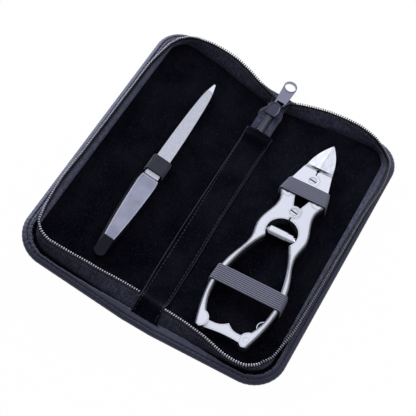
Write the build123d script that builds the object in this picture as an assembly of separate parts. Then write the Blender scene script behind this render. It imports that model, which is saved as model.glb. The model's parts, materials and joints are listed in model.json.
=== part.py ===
from build123d import *
import math
import os

# Manicure set case: a zip-around leather case that lies open, with a nail nipper
# in its right half and a nail file in its left half.
#
# Lengths are millimetres. Three working frames are used, each with X away from the
# fold, Y along the spine and Z up from the leather's underside:
#   half frame    origin at the bottom end of a half's fold line
#   spine frame   origin at the bottom end of the right fold line, spine on the -X side
#   nipper frame  origin at the centre of the nipper's rear screw, underside of the tool
# The finished frame has its origin at the centre of the right half's underside.

# ---- Case ----
case_length = 175.0        # along the spine
half_width = 70.0          # fold line to outer edge
spine_width = 17.5         # fold line to fold line, the thickness of the closed case
corner_radius = 18.5
spine_tilt = 8.0           # degrees that each fold has closed as the case lies open
leather = 1.0
board_thickness = 1.0
lining_thickness = 0.8
turned_edge = 5.5          # how far the leather's edge is turned in over the board
edge_clearance = 0.1       # turned edge to lining
fold_clearance = 0.15      # each side of a fold's mitre

# ---- Zip ----
tape_thickness = 0.8
tape_height = 4.6          # above the lining
tape_inset = 7.4           # foot of the tape's inner face to the leather's edge
tape_lean = 2.9            # how far the tape's top leans out at the side and top end
tape_lean_bottom = -2.2    # the bottom end leans in
tape_start_top = 12.5      # where the tape begins, from the fold line, at the slider's end
tape_start_bottom = 3.3    # and at the other end
tooth_pitch = 1.5
tooth_length = 0.75        # along the tape
tooth_width = 2.0          # across the tape
tooth_height = 1.9
tooth_bite = 0.65          # how far a tooth reaches down over the tape

# ---- Zip tail, on the spine ----
tail_offset = -0.4         # tail's middle from the spine's middle
tail_y = 142.0             # where the tail comes out from under the folded lining
tail_z = 5.2               # height of the tape's middle there
tail_slope = 4.0           # degrees
tail_length = 20.0
tail_width = 13.4
tail_thickness = 0.5
chain_width = 4.2
chain_thickness = 1.4
slider_length = 9.8
slider_width = 7.6
slider_tail_width = 5.9
slider_plate = 0.9
slider_gap = 0.3           # slider to chain and tape
slider_start = 12.3        # along the tail
slider_travel = 6.0
slider_post = 1.4
crown_reach = 1.5          # the crown's hook past the slider's end
crown_width = 2.2
pull_bar_radius = 0.55
pull_thickness = 1.4
pull_window = 3.0
pull_arm = 1.0
pull_neck_width = 6.6
pull_end_radius = 4.0
pull_hole_radius = 3.35
pull_hole_distance = 15.95 # from the bar
pull_rim = 0.2
pull_side = 1.05           # the pull hangs to one side by the bar's play in the crown
pull_droop = 1.0           # degrees below level

# ---- Elastic bands ----
band_thickness = 0.7
band_gap = 0.15            # band to tool
band_flare = 1.3           # how much wider the band's feet stand than its top
upper_band_y = (10.6, 20.3)        # in the nipper frame
upper_band_half = (13.5, 11.4)
lower_band_y = (-59.4, -48.9)
lower_band_half = (20.4, 19.9)
file_band_y = (80.8, 91.5)
file_band_half = (4.9, 4.9)

# ---- Nipper ----
nipper_x = 33.5
nipper_y = 101.1           # rear screw, in the half frame
tool_rest = 0.2            # tool's underside above the lining
nipper_thickness = 6.4
lap_gap = 0.05             # each side of a lap's middle plane
running = 0.05             # radial clearance of pins and screws
ear_clearance = 0.15
rear_ear = 4.0
front_ear = 4.0
front_screw_y = 24.0
side_pin = (9.2, 11.2)
side_ear = 3.1
side_pin_radius = 1.2
open_pin_play = 0.2        # the linkage is opened at the left side pin
screw_shank = 1.5
screw_head = 2.25
screw_head_depth = 1.0
slot_width = 0.5
slot_depth = 0.45
front_slot_angle = -8.0
rear_slot_angle = -13.0
seam = 0.45                # half gap between the handles behind the rear lap
blade_seam = 0.06          # half gap between the closed blades
tip_y = 53.0
blade_y = 33.4             # where the blades begin
blade_half = 7.85
blade_tip_height = 1.6
blade_ridge = 0.9          # the blades' roof stands this much over their outer edges
groove_width = 1.1
eye_y = 31.4               # diamond eye between the jaws
eye_half = 1.4
eye_slot = 0.35
ring_y = -15.1             # round opening for the barrel spring
ring_radius = 9.06
ring_corner = 7.1
waist = (10.85, 2.6)
shoulder = (13.3, 10.4)
bulge = (14.8, -14.5)
neck = (13.5, -24.5)
grip_knee = (17.4, -39.9)
grip_widest = (20.0, -58.5)
grip_low = (18.5, -72.0)
grip_inner_neck = (12.4, -32.9)
grip_inner_knee = (15.6, -46.0)
grip_inner_widest = (17.2, -59.0)
grip_inner_low = (15.4, -71.5)
foot_top = (12.6, -77.7)   # where the grip's inner side meets the foot's boss
foot_side = (9.3, -82.4)
foot_bottom = (12.2, -87.1)
foot_heel = (14.8, -86.3)
edge_break = 0.7

# ---- Lock lever ----
lever_thickness = 1.8
lever_gap = 0.15
lever_pin = (12.7, -82.4)
lever_pin_radius = 1.0
lever_root = 2.4
lever_swing = 60.0
lever_tip_x = -10.4
lever_top_y = -80.6
lever_peak_y = -77.1
lever_peak_half = 3.2
lever_bottom_y = -85.6
lever_hollow_y = -84.2
spring_leaf = 0.45
spring_leaf_width = 3.0
spring_leaf_rise = 1.9
spring_leaf_y = (-74.3, -67.6)

# ---- Barrel spring ----
sleeve_radius = 3.15
sleeve_wall = 0.35
sleeve_span = (-7.0, 3.1)
sleeve_cone_end = -8.5
sleeve_cone_radius = 1.7
plunger_clearance = 0.06
plunger_wall = 0.45
plunger_shoulder = 6.7
plunger_collar_end = 7.9
plunger_collar_radius = 1.9
plunger_tail = -4.0        # the plunger's open end inside the sleeve
stud_ball = 1.0
stud_neck = 0.6
stud_x = 7.6
stud_left_x = -8.0
stud_root = 2.0            # how deep a stud is set in its handle
stud_play = 0.1
coil_wire = 0.5
coil_sides = 8             # the wire's section is an octagon
coil_radius = 1.8
coil_pitch = 1.3

# ---- Nail file ----
file_x = 28.8
file_end_y = 20.6
handle_top_y = 77.5
handle_thickness = 4.2
handle_end_width = 7.2
handle_low = (4.1, 31.0)
handle_wide = (6.6, 68.0)
handle_top_half = 5.65
handle_facet = 1.3
handle_end_fall = 1.3
handle_end_facet = 12.0
blade_thickness = 1.4
blade_tang = 16.0
tang_half = 3.0
file_shank = (4.5, 80.4)
file_middle = (4.25, 92.6)
file_tip_y = 152.4
file_upper = (3.3, file_tip_y - 18.6)
file_neck = (2.3, file_tip_y - 7.4)
file_bevel = 0.35

# ---- Worked out from the above ----
floor = leather + board_thickness + lining_thickness
rim_height = 2 * leather + board_thickness
tool_z = floor + tool_rest
half_lap = nipper_thickness / 2
far = 400.0


def slab(face, low, high):
    """A flat outline as a solid between two heights."""
    return extrude(Pos(0, 0, low) * face, high - low)


def disc(centre, radius, low, high):
    return slab(Pos(centre[0], centre[1]) * Circle(radius), low, high)


def box(x, y, z):
    """A box from its low and high corner values on each axis."""
    size = [high - low for low, high in (x, y, z)]
    middle = [(high + low) / 2 for low, high in (x, y, z)]
    return Pos(*middle) * Box(*size)


def mirrored(shape):
    return mirror(shape, about=Plane.YZ)


# ---- Case pieces ----
def half_outline(inset):
    """A half seen from above: square at the fold, rounded at its two outer corners."""
    corners = [
        (0, inset),
        (half_width - inset, inset),
        (half_width - inset, case_length - inset),
        (0, case_length - inset),
    ]
    edge = FilletPolyline(*corners, radius=corner_radius - inset)
    return make_face([edge, Line(edge @ 1, edge @ 0)])


def fold_mitre():
    """What is cut from a sheet beside a fold, so that two sheets meet at 45 degrees."""
    start = fold_clearance
    section = Polyline(
        (start - leather, -leather), (-far, -leather), (-far, far), (start + far, far), close=True
    )
    wedge = extrude(Plane.XZ * make_face(section), far, both=True)
    return wedge


def half_cover():
    shell = slab(half_outline(0), 0, rim_height)
    shell -= slab(half_outline(leather), leather, leather + board_thickness)
    shell -= slab(half_outline(turned_edge), leather, rim_height)
    return shell - fold_mitre()


def half_board():
    return slab(half_outline(leather), leather, leather + board_thickness) - fold_mitre()


def half_lining():
    sheet = half_outline(turned_edge + edge_clearance)
    return slab(sheet, leather + board_thickness, floor) - fold_mitre()


def tape_plan(inward, lean_share):
    """The tape's plan, its face moved inward, at a share of its full lean."""
    side = half_width - tape_inset + tape_lean * lean_share - inward
    low = tape_inset - tape_lean_bottom * lean_share + inward
    high = case_length - tape_inset + tape_lean * lean_share - inward
    radius = corner_radius - tape_inset + tape_lean * lean_share - inward
    return FilletPolyline((0, low), (side, low), (side, high), (0, high), radius=radius)


def tape_block(inward):
    """Everything inside one face of the leaning tape."""
    ends = []
    for share, height in ((0, floor), (1, floor + tape_height)):
        edge = tape_plan(inward, share)
        ends.append(Pos(0, 0, height) * make_face([edge, Line(edge @ 1, edge @ 0)]))
    return loft(ends, ruled=True)


def tape_keep():
    """The region that the tape occupies beyond its two ends beside the fold."""
    heights = (0, far)
    return box((tape_start_bottom, far), (0, case_length / 2), heights) + box(
        (tape_start_top, far), (case_length / 2, case_length), heights
    )


def zip_tape():
    return (tape_block(-tape_thickness) - tape_block(0)) & tape_keep()


def zip_teeth():
    """Teeth along the tape's top edge, one block each, astride the tape."""
    path = tape_plan(-tape_thickness / 2, 1)
    tooth = Box(tooth_length, tooth_width, tooth_height)
    middle = floor + tape_height - tooth_bite + tooth_height / 2
    teeth = []
    for n in range(int(path.length / tooth_pitch)):
        share = (n + 0.5) * tooth_pitch / path.length
        at = path @ share
        start = tape_start_bottom if at.Y < case_length / 2 else tape_start_top
        if at.X > start + tooth_length:
            along = path % share
            turn = math.degrees(math.atan2(along.Y, along.X))
            teeth.append(Pos(at.X, at.Y, middle) * Rot(0, 0, turn) * tooth)
    return Compound(teeth)


def band(x, ys, halves, top):
    """An elastic band over a tool: feet on the lining, its top over the tool."""
    sides = []
    for outward in (band_thickness, 0):
        sections = []
        for y, half in zip(ys, halves):
            wide = half + band_flare + outward
            arch = Polyline(
                (x - wide, floor),
                (x - half - outward, top + outward),
                (x + half + outward, top + outward),
                (x + wide, floor),
                close=True,
            )
            sections.append(Pos(0, y, 0) * (Plane.XZ * make_face(arch)))
        sides.append(loft(sections, ruled=True))
    return sides[0] - sides[1]


# ---- Spine pieces ----
def both_mitres():
    right = mirrored(fold_mitre())
    return right + Pos(-spine_width, 0, 0) * fold_mitre()


def spine_strip(inset, low, high):
    return box((-spine_width, 0), (inset, case_length - inset), (low, high))


def spine_cover():
    shell = spine_strip(0, 0, rim_height)
    shell -= spine_strip(leather, leather, leather + board_thickness)
    shell -= spine_strip(turned_edge, leather, rim_height)
    return shell - both_mitres()


def spine_board():
    return spine_strip(leather, leather, leather + board_thickness) - both_mitres()


def spine_lining():
    """The strip, and the hem over the tail's end, which stays clear of the halves as they close."""
    low = leather + board_thickness
    first = turned_edge + edge_clearance
    last = case_length - first
    strip = box((-spine_width, 0), (first, last), (low, floor)) - both_mitres()
    hem_half = spine_width / 2 - floor - edge_clearance
    middle = -spine_width / 2
    top = tail_z + chain_thickness / 2 + lining_thickness
    hem_y = (tail_y - turned_edge, tail_y - edge_clearance)
    return strip + box((middle - hem_half, middle + hem_half), hem_y, (floor, top))


def tail_tape():
    """The two tapes, one each side of the chain."""
    half = tail_thickness / 2
    strip = box((chain_width / 2, tail_width / 2), (0, tail_length), (-half, half))
    return Compound([strip, mirrored(strip)])


def tail_chain():
    """A core strip with a bar for each pair of closed teeth."""
    half = chain_width / 2
    core = box((-half, half), (0, tail_length), (-tail_thickness / 2, tail_thickness / 2))
    count = int(tail_length / tooth_pitch)
    for n in range(count):
        at = n * tooth_pitch
        core += box(
            (-half, half), (at, at + tooth_length), (-chain_thickness / 2, chain_thickness / 2)
        )
    return core


# ---- Zip slider and pull, modelled along the tail ----
plate_low = chain_thickness / 2 + slider_gap
plate_high = plate_low + slider_plate
slider_end = slider_start + slider_length
bar_y = slider_end + crown_reach - 2 * pull_bar_radius
bar_z = -plate_low - pull_bar_radius - slider_gap
pull_place = Pos(pull_side, bar_y, bar_z) * Rot(-tail_slope - pull_droop, 0, 0)


def slider_plan():
    """Round at its mouth, narrowing to a straight tail."""
    wide = slider_width / 2
    tail = slider_tail_width / 2
    knee = slider_start + slider_length * 0.35
    shoulder_y = slider_end - wide
    outline = [
        Line((tail, slider_start), (-tail, slider_start)),
        Line((-tail, slider_start), (-wide, knee)),
        Line((-wide, knee), (-wide, shoulder_y)),
        ThreePointArc((-wide, shoulder_y), (0, slider_end), (wide, shoulder_y)),
        Line((wide, shoulder_y), (wide, knee)),
        Line((wide, knee), (tail, slider_start)),
    ]
    return make_face(outline)


def zip_slider():
    """Two plates, the flanges that hold the chain, the post between, and the crown."""
    plan = slider_plan()
    body = slab(plan, -plate_high, plate_high)
    mouth = chain_width / 2 + slider_gap
    body -= box((-mouth, mouth), (0, far), (-plate_low, plate_low))
    slot = tail_thickness / 2 + slider_gap
    body -= box((-far, far), (0, far), (-slot, slot))
    post_y = (tail_length + slider_gap, slider_end - slider_plate)
    body += box((-slider_post / 2, slider_post / 2), post_y, (-plate_high, plate_high))
    body = fillet(body.faces().sort_by(Axis.Z)[-1].edges(), slider_plate / 3)
    eye = Pos(0, bar_y, bar_z) * Rot(0, 90, 0) * Cylinder(pull_bar_radius + running, slider_width)
    return body + slider_crown() - eye


def slider_crown():
    """A hook on the outer plate that holds the pull's bar."""
    reach = slider_end + crown_reach
    bottom = bar_z - pull_bar_radius - slider_gap
    hook = box(
        (-crown_width / 2, crown_width / 2),
        (slider_start + slider_length * 0.55, reach),
        (bottom - slider_plate / 2, -plate_low),
    )
    return fillet(hook.edges().filter_by(Axis.X).group_by(Axis.Z)[0], slider_plate / 2)


def pull_plan():
    """Seen from above with the bar along X at the origin."""
    neck_half = pull_neck_width / 2
    start = pull_window
    blank = make_face(
        Polyline(
            (-neck_half, 0),
            (neck_half, 0),
            (neck_half, start),
            (pull_end_radius, pull_hole_distance),
            (-pull_end_radius, pull_hole_distance),
            (-neck_half, start),
            close=True,
        )
    )
    blank += Pos(0, pull_hole_distance) * Circle(pull_end_radius)
    window_half = neck_half - pull_arm
    window = Pos(0, start / 2) * Rectangle(2 * window_half, start)
    return blank - window


def zip_pull():
    plate = slab(pull_plan(), -pull_thickness / 2, pull_thickness / 2)
    eye = (0, pull_hole_distance)
    top = pull_thickness / 2 + pull_rim
    plate += disc(eye, pull_end_radius, -top, top)
    plate -= disc(eye, pull_hole_radius, -top, top)
    plate += Rot(0, 90, 0) * Cylinder(pull_bar_radius, pull_neck_width - pull_arm)
    return pull_place * plate


# ---- Nipper ----
def ear_pair(centre, radius, clearance, over):
    """A lap's ear for one layer, and the recess for the other piece's ear."""
    low = (0, half_lap - lap_gap)
    high = (half_lap + lap_gap, nipper_thickness)
    ear = disc(centre, radius, *(high if over else low))
    recess_z = (-1, half_lap + lap_gap) if over else (half_lap - lap_gap, nipper_thickness + 1)
    recess = disc(centre, radius + clearance, *recess_z)
    return ear, recess


def handle_plan():
    """The right handle: front horns, neck, round opening, grip and foot."""
    v_corner = (4.4, shoulder[1] - 0.2)
    v_root = (2.0, 3.4)
    ring_top = ring_y + math.sqrt(ring_radius**2 - seam**2)
    ring_low = ring_y - math.sqrt(ring_radius**2 - ring_corner**2)
    outline = [
        Polyline(v_corner, v_root, (seam, 3.0), (seam, ring_top)),
        ThreePointArc((seam, ring_top), (ring_radius, ring_y), (ring_corner, ring_low)),
        Spline(
            (ring_corner, ring_low),
            grip_inner_neck,
            grip_inner_knee,
            grip_inner_widest,
            grip_inner_low,
            foot_top,
        ),
        ThreePointArc(foot_top, foot_side, foot_bottom),
        Line(foot_bottom, foot_heel),
        Spline(foot_heel, grip_low, grip_widest, grip_knee, neck, bulge, waist, shoulder),
        Line(shoulder, v_corner),
    ]
    return make_face(outline)


def handle(over):
    """The right handle. Over: its rear ear lies in the upper layer, as the left one's does."""
    body = slab(handle_plan(), 0, nipper_thickness)
    body = chamfer(body.edges().filter_by(GeomType.BSPLINE), edge_break)
    rear, rear_recess = ear_pair((0, 0), rear_ear, ear_clearance, over)
    body = body - rear_recess + rear
    side, side_recess = ear_pair(side_pin, side_ear, ear_clearance, False)
    body = body - side_recess + side
    body -= disc(side_pin, side_pin_radius, -1, nipper_thickness + 1)
    body -= disc((0, 0), screw_shank + running, -1, nipper_thickness + 1)
    return body - screw_seats((0, 0), over, running)


def screw_seats(centre, over, clearance):
    """Counterbore for the head in an upper ear, or for the riveted end in a lower one."""
    if over:
        span = (nipper_thickness - screw_head_depth - lap_gap, nipper_thickness + 1)
    else:
        span = (-1, screw_head_depth * 0.8 + lap_gap)
    return disc(centre, screw_head + clearance, *span)


def screw(centre, slot_angle):
    """Slotted flush head, shank, and a riveted end flush with the underside."""
    shape = disc(centre, screw_shank, 0, nipper_thickness)
    shape += disc(centre, screw_head, 0, screw_head_depth * 0.8)
    head_low = nipper_thickness - screw_head_depth
    head = disc(centre, screw_head, head_low, nipper_thickness)
    head = chamfer(head.faces().sort_by(Axis.Z)[-1].edges(), 0.25)
    slot = Box(2 * screw_head + 1, slot_width, 2 * slot_depth)
    shape += head
    return shape - Pos(centre[0], centre[1], nipper_thickness) * Rot(0, 0, slot_angle) * slot


def side_rivet():
    rivet = disc(side_pin, side_pin_radius, 0, nipper_thickness)
    return chamfer(rivet.faces().sort_by(Axis.Z)[-1].edges(), 0.25)


def jaw_plan():
    """The right jaw: blade, eye, joint and tail, with its cutting edge at the middle."""
    eye_top = eye_y + eye_half * 1.1
    eye_low = eye_y - eye_half
    lap_top = front_screw_y + front_ear - 0.2
    tail_in = (side_pin[0] - side_ear + 0.1, side_pin[1] + 1.2)
    tail_out = (side_pin[0] + side_ear - 0.1, side_pin[1] + 1.2)
    outline = [
        Polyline(
            (blade_seam, tip_y),
            (blade_seam, eye_top),
            (eye_half, eye_y),
            (eye_slot, eye_low),
            (eye_slot, lap_top),
            (blade_seam + 1.0, front_screw_y - 1),
            (2.6, front_screw_y - 3.0),
            tail_in,
            tail_out,
            (11.0, 21.2),
            (blade_half + 0.4, blade_y - 1.4),
            (blade_half, blade_y),
        ),
        ThreePointArc((blade_half, blade_y), (5.5, 43.4), (blade_seam + 0.25, tip_y)),
        Line((blade_seam + 0.25, tip_y), (blade_seam, tip_y)),
    ]
    return make_face(outline)


def blade_roof():
    """What is cut from the blades' upper side: two slopes that meet on the middle line."""
    rise = nipper_thickness - half_lap - blade_tip_height / 2
    run = tip_y - blade_y
    slope = math.degrees(math.atan2(rise, run))
    fall = math.degrees(math.atan2(blade_ridge, blade_half))
    cutter = Pos(0, far / 2, far / 2) * Box(far, far, far)
    return Pos(0, blade_y, nipper_thickness) * Rot(-slope, 0, 0) * Rot(0, fall, 0) * cutter


def jaw(over):
    """The right jaw. Over: its front ear lies in the upper layer, as the left one's does."""
    body = slab(jaw_plan(), 0, nipper_thickness)
    front = (0, front_screw_y)
    ear, recess = ear_pair(front, front_ear, ear_clearance, over)
    body = body - recess + ear
    ear, recess = ear_pair(side_pin, side_ear, ear_clearance, True)
    body = body - recess + ear
    play = running + (open_pin_play if over else 0)
    body -= disc(side_pin, side_pin_radius + play, -1, nipper_thickness + 1)
    body -= disc(front, screw_shank + (running if over else 0), -1, nipper_thickness + 1)
    body -= screw_seats(front, over, running if over else 0)
    roof = blade_roof()
    body -= roof
    body -= mirror(roof, about=Plane.XY.offset(half_lap))
    groove = Pos(0, blade_y - groove_width / 2, nipper_thickness) * Rot(0, 90, 0)
    groove = groove * Cylinder(groove_width / 2, far)
    return body - groove


# ---- Lock lever ----
def lever_plan():
    """Peaked on the side of the grips, hollow on the other, round at its pin."""
    root = (lever_pin[0], lever_pin[1])
    outline = [
        Spline(
            (lever_tip_x, lever_top_y),
            (-lever_peak_half, lever_top_y + 0.9),
            (0.4, lever_peak_y),
            tangents=[(1, 0), (1, 1)],
        ),
        Spline(
            (0.4, lever_peak_y),
            (lever_peak_half + 1, lever_top_y + 0.9),
            (root[0], root[1] + lever_root),
            tangents=[(1, -1), (1, 0)],
        ),
        ThreePointArc(
            (root[0], root[1] + lever_root),
            (root[0] + lever_root, root[1]),
            (root[0], root[1] - lever_root),
        ),
        Spline(
            (root[0], root[1] - lever_root),
            (0, lever_hollow_y),
            (lever_tip_x, lever_bottom_y),
        ),
        Line((lever_tip_x, lever_bottom_y), (lever_tip_x, lever_top_y)),
    ]
    return make_face(outline)


lever_z = (half_lap - lever_thickness / 2, half_lap + lever_thickness / 2)


def lock_lever():
    lever = slab(lever_plan(), *lever_z)
    return lever - disc(lever_pin, lever_pin_radius + running, -1, nipper_thickness)


def lever_path():
    """The slot in the right foot that the lever turns in, from across to along the grip."""
    low, high = lever_z[0] - lever_gap, lever_z[1] + lever_gap
    wide = lever_root + 2 * lever_gap
    turn = math.radians(lever_swing)
    side = (lever_pin[0] + wide * math.sin(turn), lever_pin[1] + wide * math.cos(turn))
    sector = Polyline(
        lever_pin,
        (lever_pin[0], lever_pin[1] - wide),
        (lever_pin[0] - far, lever_pin[1] - wide),
        (side[0] - far * math.cos(turn), side[1] + far * math.sin(turn)),
        side,
        close=True,
    )
    return slab(make_face(sector), low, high) + disc(lever_pin, wide, low, high)


def lever_socket():
    """The fork in the left foot that the lever's free end lies in."""
    low, high = lever_z[0] - lever_gap, lever_z[1] + lever_gap
    reach = abs(lever_tip_x) + 2 * lever_gap
    return box((-reach, 0), (-far, grip_inner_low[1]), (low, high))


def lock_spring():
    """A small arched leaf on the right handle's inner side."""
    low, high = spring_leaf_y
    middle = (low + high) / 2
    foot_x = grip_inner_low[0] + 0.2
    peak_x = foot_x - spring_leaf_rise
    outer = ThreePointArc((foot_x, low), (peak_x, middle), (foot_x + 0.5, high))
    inner = ThreePointArc(
        (foot_x, low + spring_leaf), (peak_x + spring_leaf, middle), (foot_x + 0.5, high - spring_leaf)
    )
    strip = make_face(
        [outer, Line(outer @ 1, inner @ 1), inner, Line(inner @ 0, outer @ 0)]
    )
    return slab(strip, half_lap - spring_leaf_width / 2, half_lap + spring_leaf_width / 2)


# ---- Barrel spring ----
def on_barrel(shape):
    """Turns a shape of revolution about Z so that Z runs along +X across the ring."""
    return Pos(0, ring_y, half_lap) * Rot(0, 90, 0) * shape


def tube(outer, inner, low, high):
    ring = Circle(outer) - Circle(inner)
    return slab(ring, low, high)


plunger_radius = sleeve_radius - sleeve_wall - plunger_clearance
sleeve_bore = sleeve_radius - sleeve_wall


def barrel_sleeve():
    """Outer tube with a cone at its closed end, hollow for the left stud's ball."""
    low, high = sleeve_span
    cone_length = low - sleeve_cone_end
    shape = tube(sleeve_radius, sleeve_bore, low, high)
    cone = Pos(0, 0, low - cone_length / 2) * Cone(sleeve_cone_radius, sleeve_radius, cone_length)
    shape += cone
    shape -= Pos(0, 0, stud_left_x) * Sphere(stud_ball + stud_play)
    return on_barrel(shape)


def barrel_plunger():
    """Inner tube, a narrower collar, and a hollow for the right stud's ball."""
    shape = tube(plunger_radius, plunger_radius - plunger_wall, plunger_tail, plunger_shoulder - 1)
    shape += slab(Circle(plunger_radius), plunger_shoulder - 1, plunger_shoulder)
    shape += slab(Circle(plunger_collar_radius), plunger_shoulder, plunger_collar_end)
    shape -= Pos(0, 0, stud_x) * Sphere(stud_ball + stud_play)
    return on_barrel(shape)


def barrel_stud(ball_x, outward):
    """A ball on a neck that is set into the ring's wall."""
    end = ring_radius + stud_root
    length = end - abs(ball_x)
    neck_shape = Pos(0, 0, ball_x + outward * length / 2) * Cylinder(stud_neck, length)
    return on_barrel(neck_shape + Pos(0, 0, ball_x) * Sphere(stud_ball))


def barrel_coil():
    """Compression spring between the sleeve's cone and the plunger's end."""
    low = sleeve_span[0] + coil_wire
    high = plunger_shoulder - 1 - coil_wire
    path = Helix(pitch=coil_pitch, height=high - low, radius=coil_radius)
    start = Plane(origin=path @ 0, z_dir=path % 0)
    wire = sweep(start * RegularPolygon(coil_wire / 2, coil_sides), path=path, is_frenet=True)
    return on_barrel(Pos(0, 0, low) * wire)


# ---- Nail file, in the half frame with its axis at X = 0 ----
def file_handle():
    """Widest near the blade, narrow and round at its end, faceted all round."""
    end_half = handle_end_width / 2
    start = (end_half, file_end_y + end_half)
    side = Spline(
        start, handle_low, handle_wide, (handle_top_half, handle_top_y), tangents=[(0, 1), (-0.5, 1)]
    )
    outline = [
        ThreePointArc((-start[0], start[1]), (0, file_end_y), start),
        side,
        Line((handle_top_half, handle_top_y), (-handle_top_half, handle_top_y)),
        mirrored(side),
    ]
    body = slab(make_face(outline), 0, handle_thickness)
    flats = body.faces().sort_by(Axis.Z)
    body = chamfer(flats[0].edges() + flats[-1].edges(), handle_facet)
    fall = math.degrees(math.atan2(handle_end_fall, handle_end_facet))
    cutter = Pos(0, -far / 2, far / 2) * Box(far, far, far)
    body -= Pos(0, file_end_y + handle_end_facet, handle_thickness) * Rot(fall, 0, 0) * cutter
    return body - file_tang()


def file_tang():
    middle = handle_thickness / 2
    half = blade_thickness / 2
    ys = (handle_top_y - blade_tang, handle_top_y)
    return box((-tang_half, tang_half), ys, (middle - half, middle + half))


def file_blade():
    """Flat, tapering to a point, its long edges bevelled."""
    base = (file_shank[0], handle_top_y)
    side = Spline(
        file_shank, file_middle, file_upper, file_neck, (0.9, file_tip_y - 1.1)
    )
    tip = ThreePointArc((0.9, file_tip_y - 1.1), (0, file_tip_y), (-0.9, file_tip_y - 1.1))
    outline = [
        Line((-base[0], base[1]), base),
        Line(base, file_shank),
        side,
        tip,
        mirrored(side),
        Line((-file_shank[0], file_shank[1]), (-base[0], base[1])),
    ]
    low = (handle_thickness - blade_thickness) / 2
    blade = slab(make_face(outline), low, low + blade_thickness)
    flats = blade.faces().sort_by(Axis.Z)
    blade = chamfer(flats[0].edges() + flats[-1].edges(), file_bevel)
    return blade + file_tang()


# ---- Placing ----
to_row = Pos(-half_width / 2, -case_length / 2, 0)
spine_place = to_row * Rot(0, spine_tilt, 0)
left_fold = (
    -spine_width * math.cos(math.radians(spine_tilt)),
    spine_width * math.sin(math.radians(spine_tilt)),
)
left_place = to_row * Pos(left_fold[0], 0, left_fold[1]) * Rot(0, 2 * spine_tilt, 0)
nipper_place = to_row * Pos(nipper_x, nipper_y, tool_z)
file_place = left_place * Pos(-file_x, 0, tool_z)
tail_place = spine_place * Pos(tail_offset - spine_width / 2, tail_y, tail_z) * Rot(tail_slope, 0, 0)


def nipper_nodes():
    left_handle = mirrored(handle(True))
    right_handle = handle(False)
    studs = {
        "barrel_stud_right": barrel_stud(stud_x, 1),
        "barrel_stud_left": barrel_stud(stud_left_x, -1),
    }
    right_handle -= lever_path()
    right_handle -= disc(lever_pin, lever_pin_radius, -1, nipper_thickness + 1)
    right_handle -= studs["barrel_stud_right"]
    left_handle -= lever_socket()
    left_handle -= studs["barrel_stud_left"]
    return {
        "nipper_handle_right": right_handle,
        "nipper_handle_left": left_handle,
        "nipper_jaw_right": jaw(False),
        "nipper_jaw_left": mirrored(jaw(True)),
        "nipper_rear_screw": screw((0, 0), rear_slot_angle),
        "nipper_front_screw": screw((0, front_screw_y), front_slot_angle),
        "nipper_pin_right": side_rivet(),
        "nipper_pin_left": mirrored(side_rivet()),
        "nipper_lock_lever": lock_lever(),
        "nipper_lock_pin": disc(lever_pin, lever_pin_radius, 0.1, nipper_thickness - 0.1),
        "nipper_lock_spring": lock_spring(),
        "barrel_sleeve": barrel_sleeve(),
        "barrel_plunger": barrel_plunger(),
        "barrel_coil": barrel_coil(),
        **studs,
    }


def case_nodes():
    half = {
        "cover": half_cover(),
        "board": half_board(),
        "lining": half_lining(),
        "zip_tape": zip_tape(),
        "zip_teeth": zip_teeth(),
    }
    band_top = tool_z + nipper_thickness + band_gap
    file_top = tool_z + (handle_thickness + blade_thickness) / 2 + band_gap
    upper_y = [nipper_y + y for y in upper_band_y]
    lower_y = [nipper_y + y for y in lower_band_y]
    bands = {
        "nipper_band_upper": band(nipper_x, upper_y, upper_band_half, band_top),
        "nipper_band_lower": band(nipper_x, lower_y, lower_band_half, band_top),
    }
    file_band = mirrored(band(file_x, file_band_y, file_band_half, file_top))
    nodes = {f"right_{name}": to_row * shape for name, shape in half.items()}
    nodes.update({f"left_{name}": left_place * mirrored(shape) for name, shape in half.items()})
    nodes.update({name: to_row * shape for name, shape in bands.items()})
    nodes["file_band"] = left_place * file_band
    return nodes


def spine_nodes():
    nodes = {
        "spine_cover": spine_place * spine_cover(),
        "spine_board": spine_place * spine_board(),
        "spine_lining": spine_place * spine_lining(),
        "zip_tail_tape": tail_place * tail_tape(),
        "zip_tail_chain": tail_place * tail_chain(),
        "zip_slider": tail_place * zip_slider(),
        "zip_pull": tail_place * zip_pull(),
    }
    return nodes


def all_nodes():
    nodes = case_nodes()
    nodes.update(spine_nodes())
    nodes.update({name: nipper_place * shape for name, shape in nipper_nodes().items()})
    nodes["file_blade"] = file_place * file_blade()
    nodes["file_handle"] = file_place * file_handle()
    return nodes


def report_places():
    """Prints the joints' and mounts' places and Z and Y directions in the finished frame."""
    places = {
        "right_fold": to_row,
        "left_fold": left_place,
        "spine": spine_place,
        "tail": tail_place,
        "pull_bar": tail_place * Pos(0, bar_y, bar_z),
        "pull_eye": tail_place * pull_place * Pos(0, pull_hole_distance, 0),
        "rear_screw": nipper_place,
        "front_screw": nipper_place * Pos(0, front_screw_y, 0),
        "side_pin_right": nipper_place * Pos(*side_pin, 0),
        "lever_pin": nipper_place * Pos(*lever_pin, 0),
        "stud_right": nipper_place * Pos(stud_x, ring_y, half_lap),
        "file": file_place,
    }
    for name, place in places.items():
        frame = Plane(place)
        for label, at in (("at", frame.origin), ("y", frame.y_dir), ("z", frame.z_dir)):
            print(f"PLACE {name} {label} {at.X:.5f} {at.Y:.5f} {at.Z:.5f}")


os.makedirs("parts", exist_ok=True)
for name, shape in all_nodes().items():
    export_step(shape, f"parts/{name}.step")
report_places()
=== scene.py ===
import json
import math

import bmesh
import bpy
import numpy as np
from mathutils import Matrix, Vector, noise
from mathutils.bvhtree import BVHTree


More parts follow.
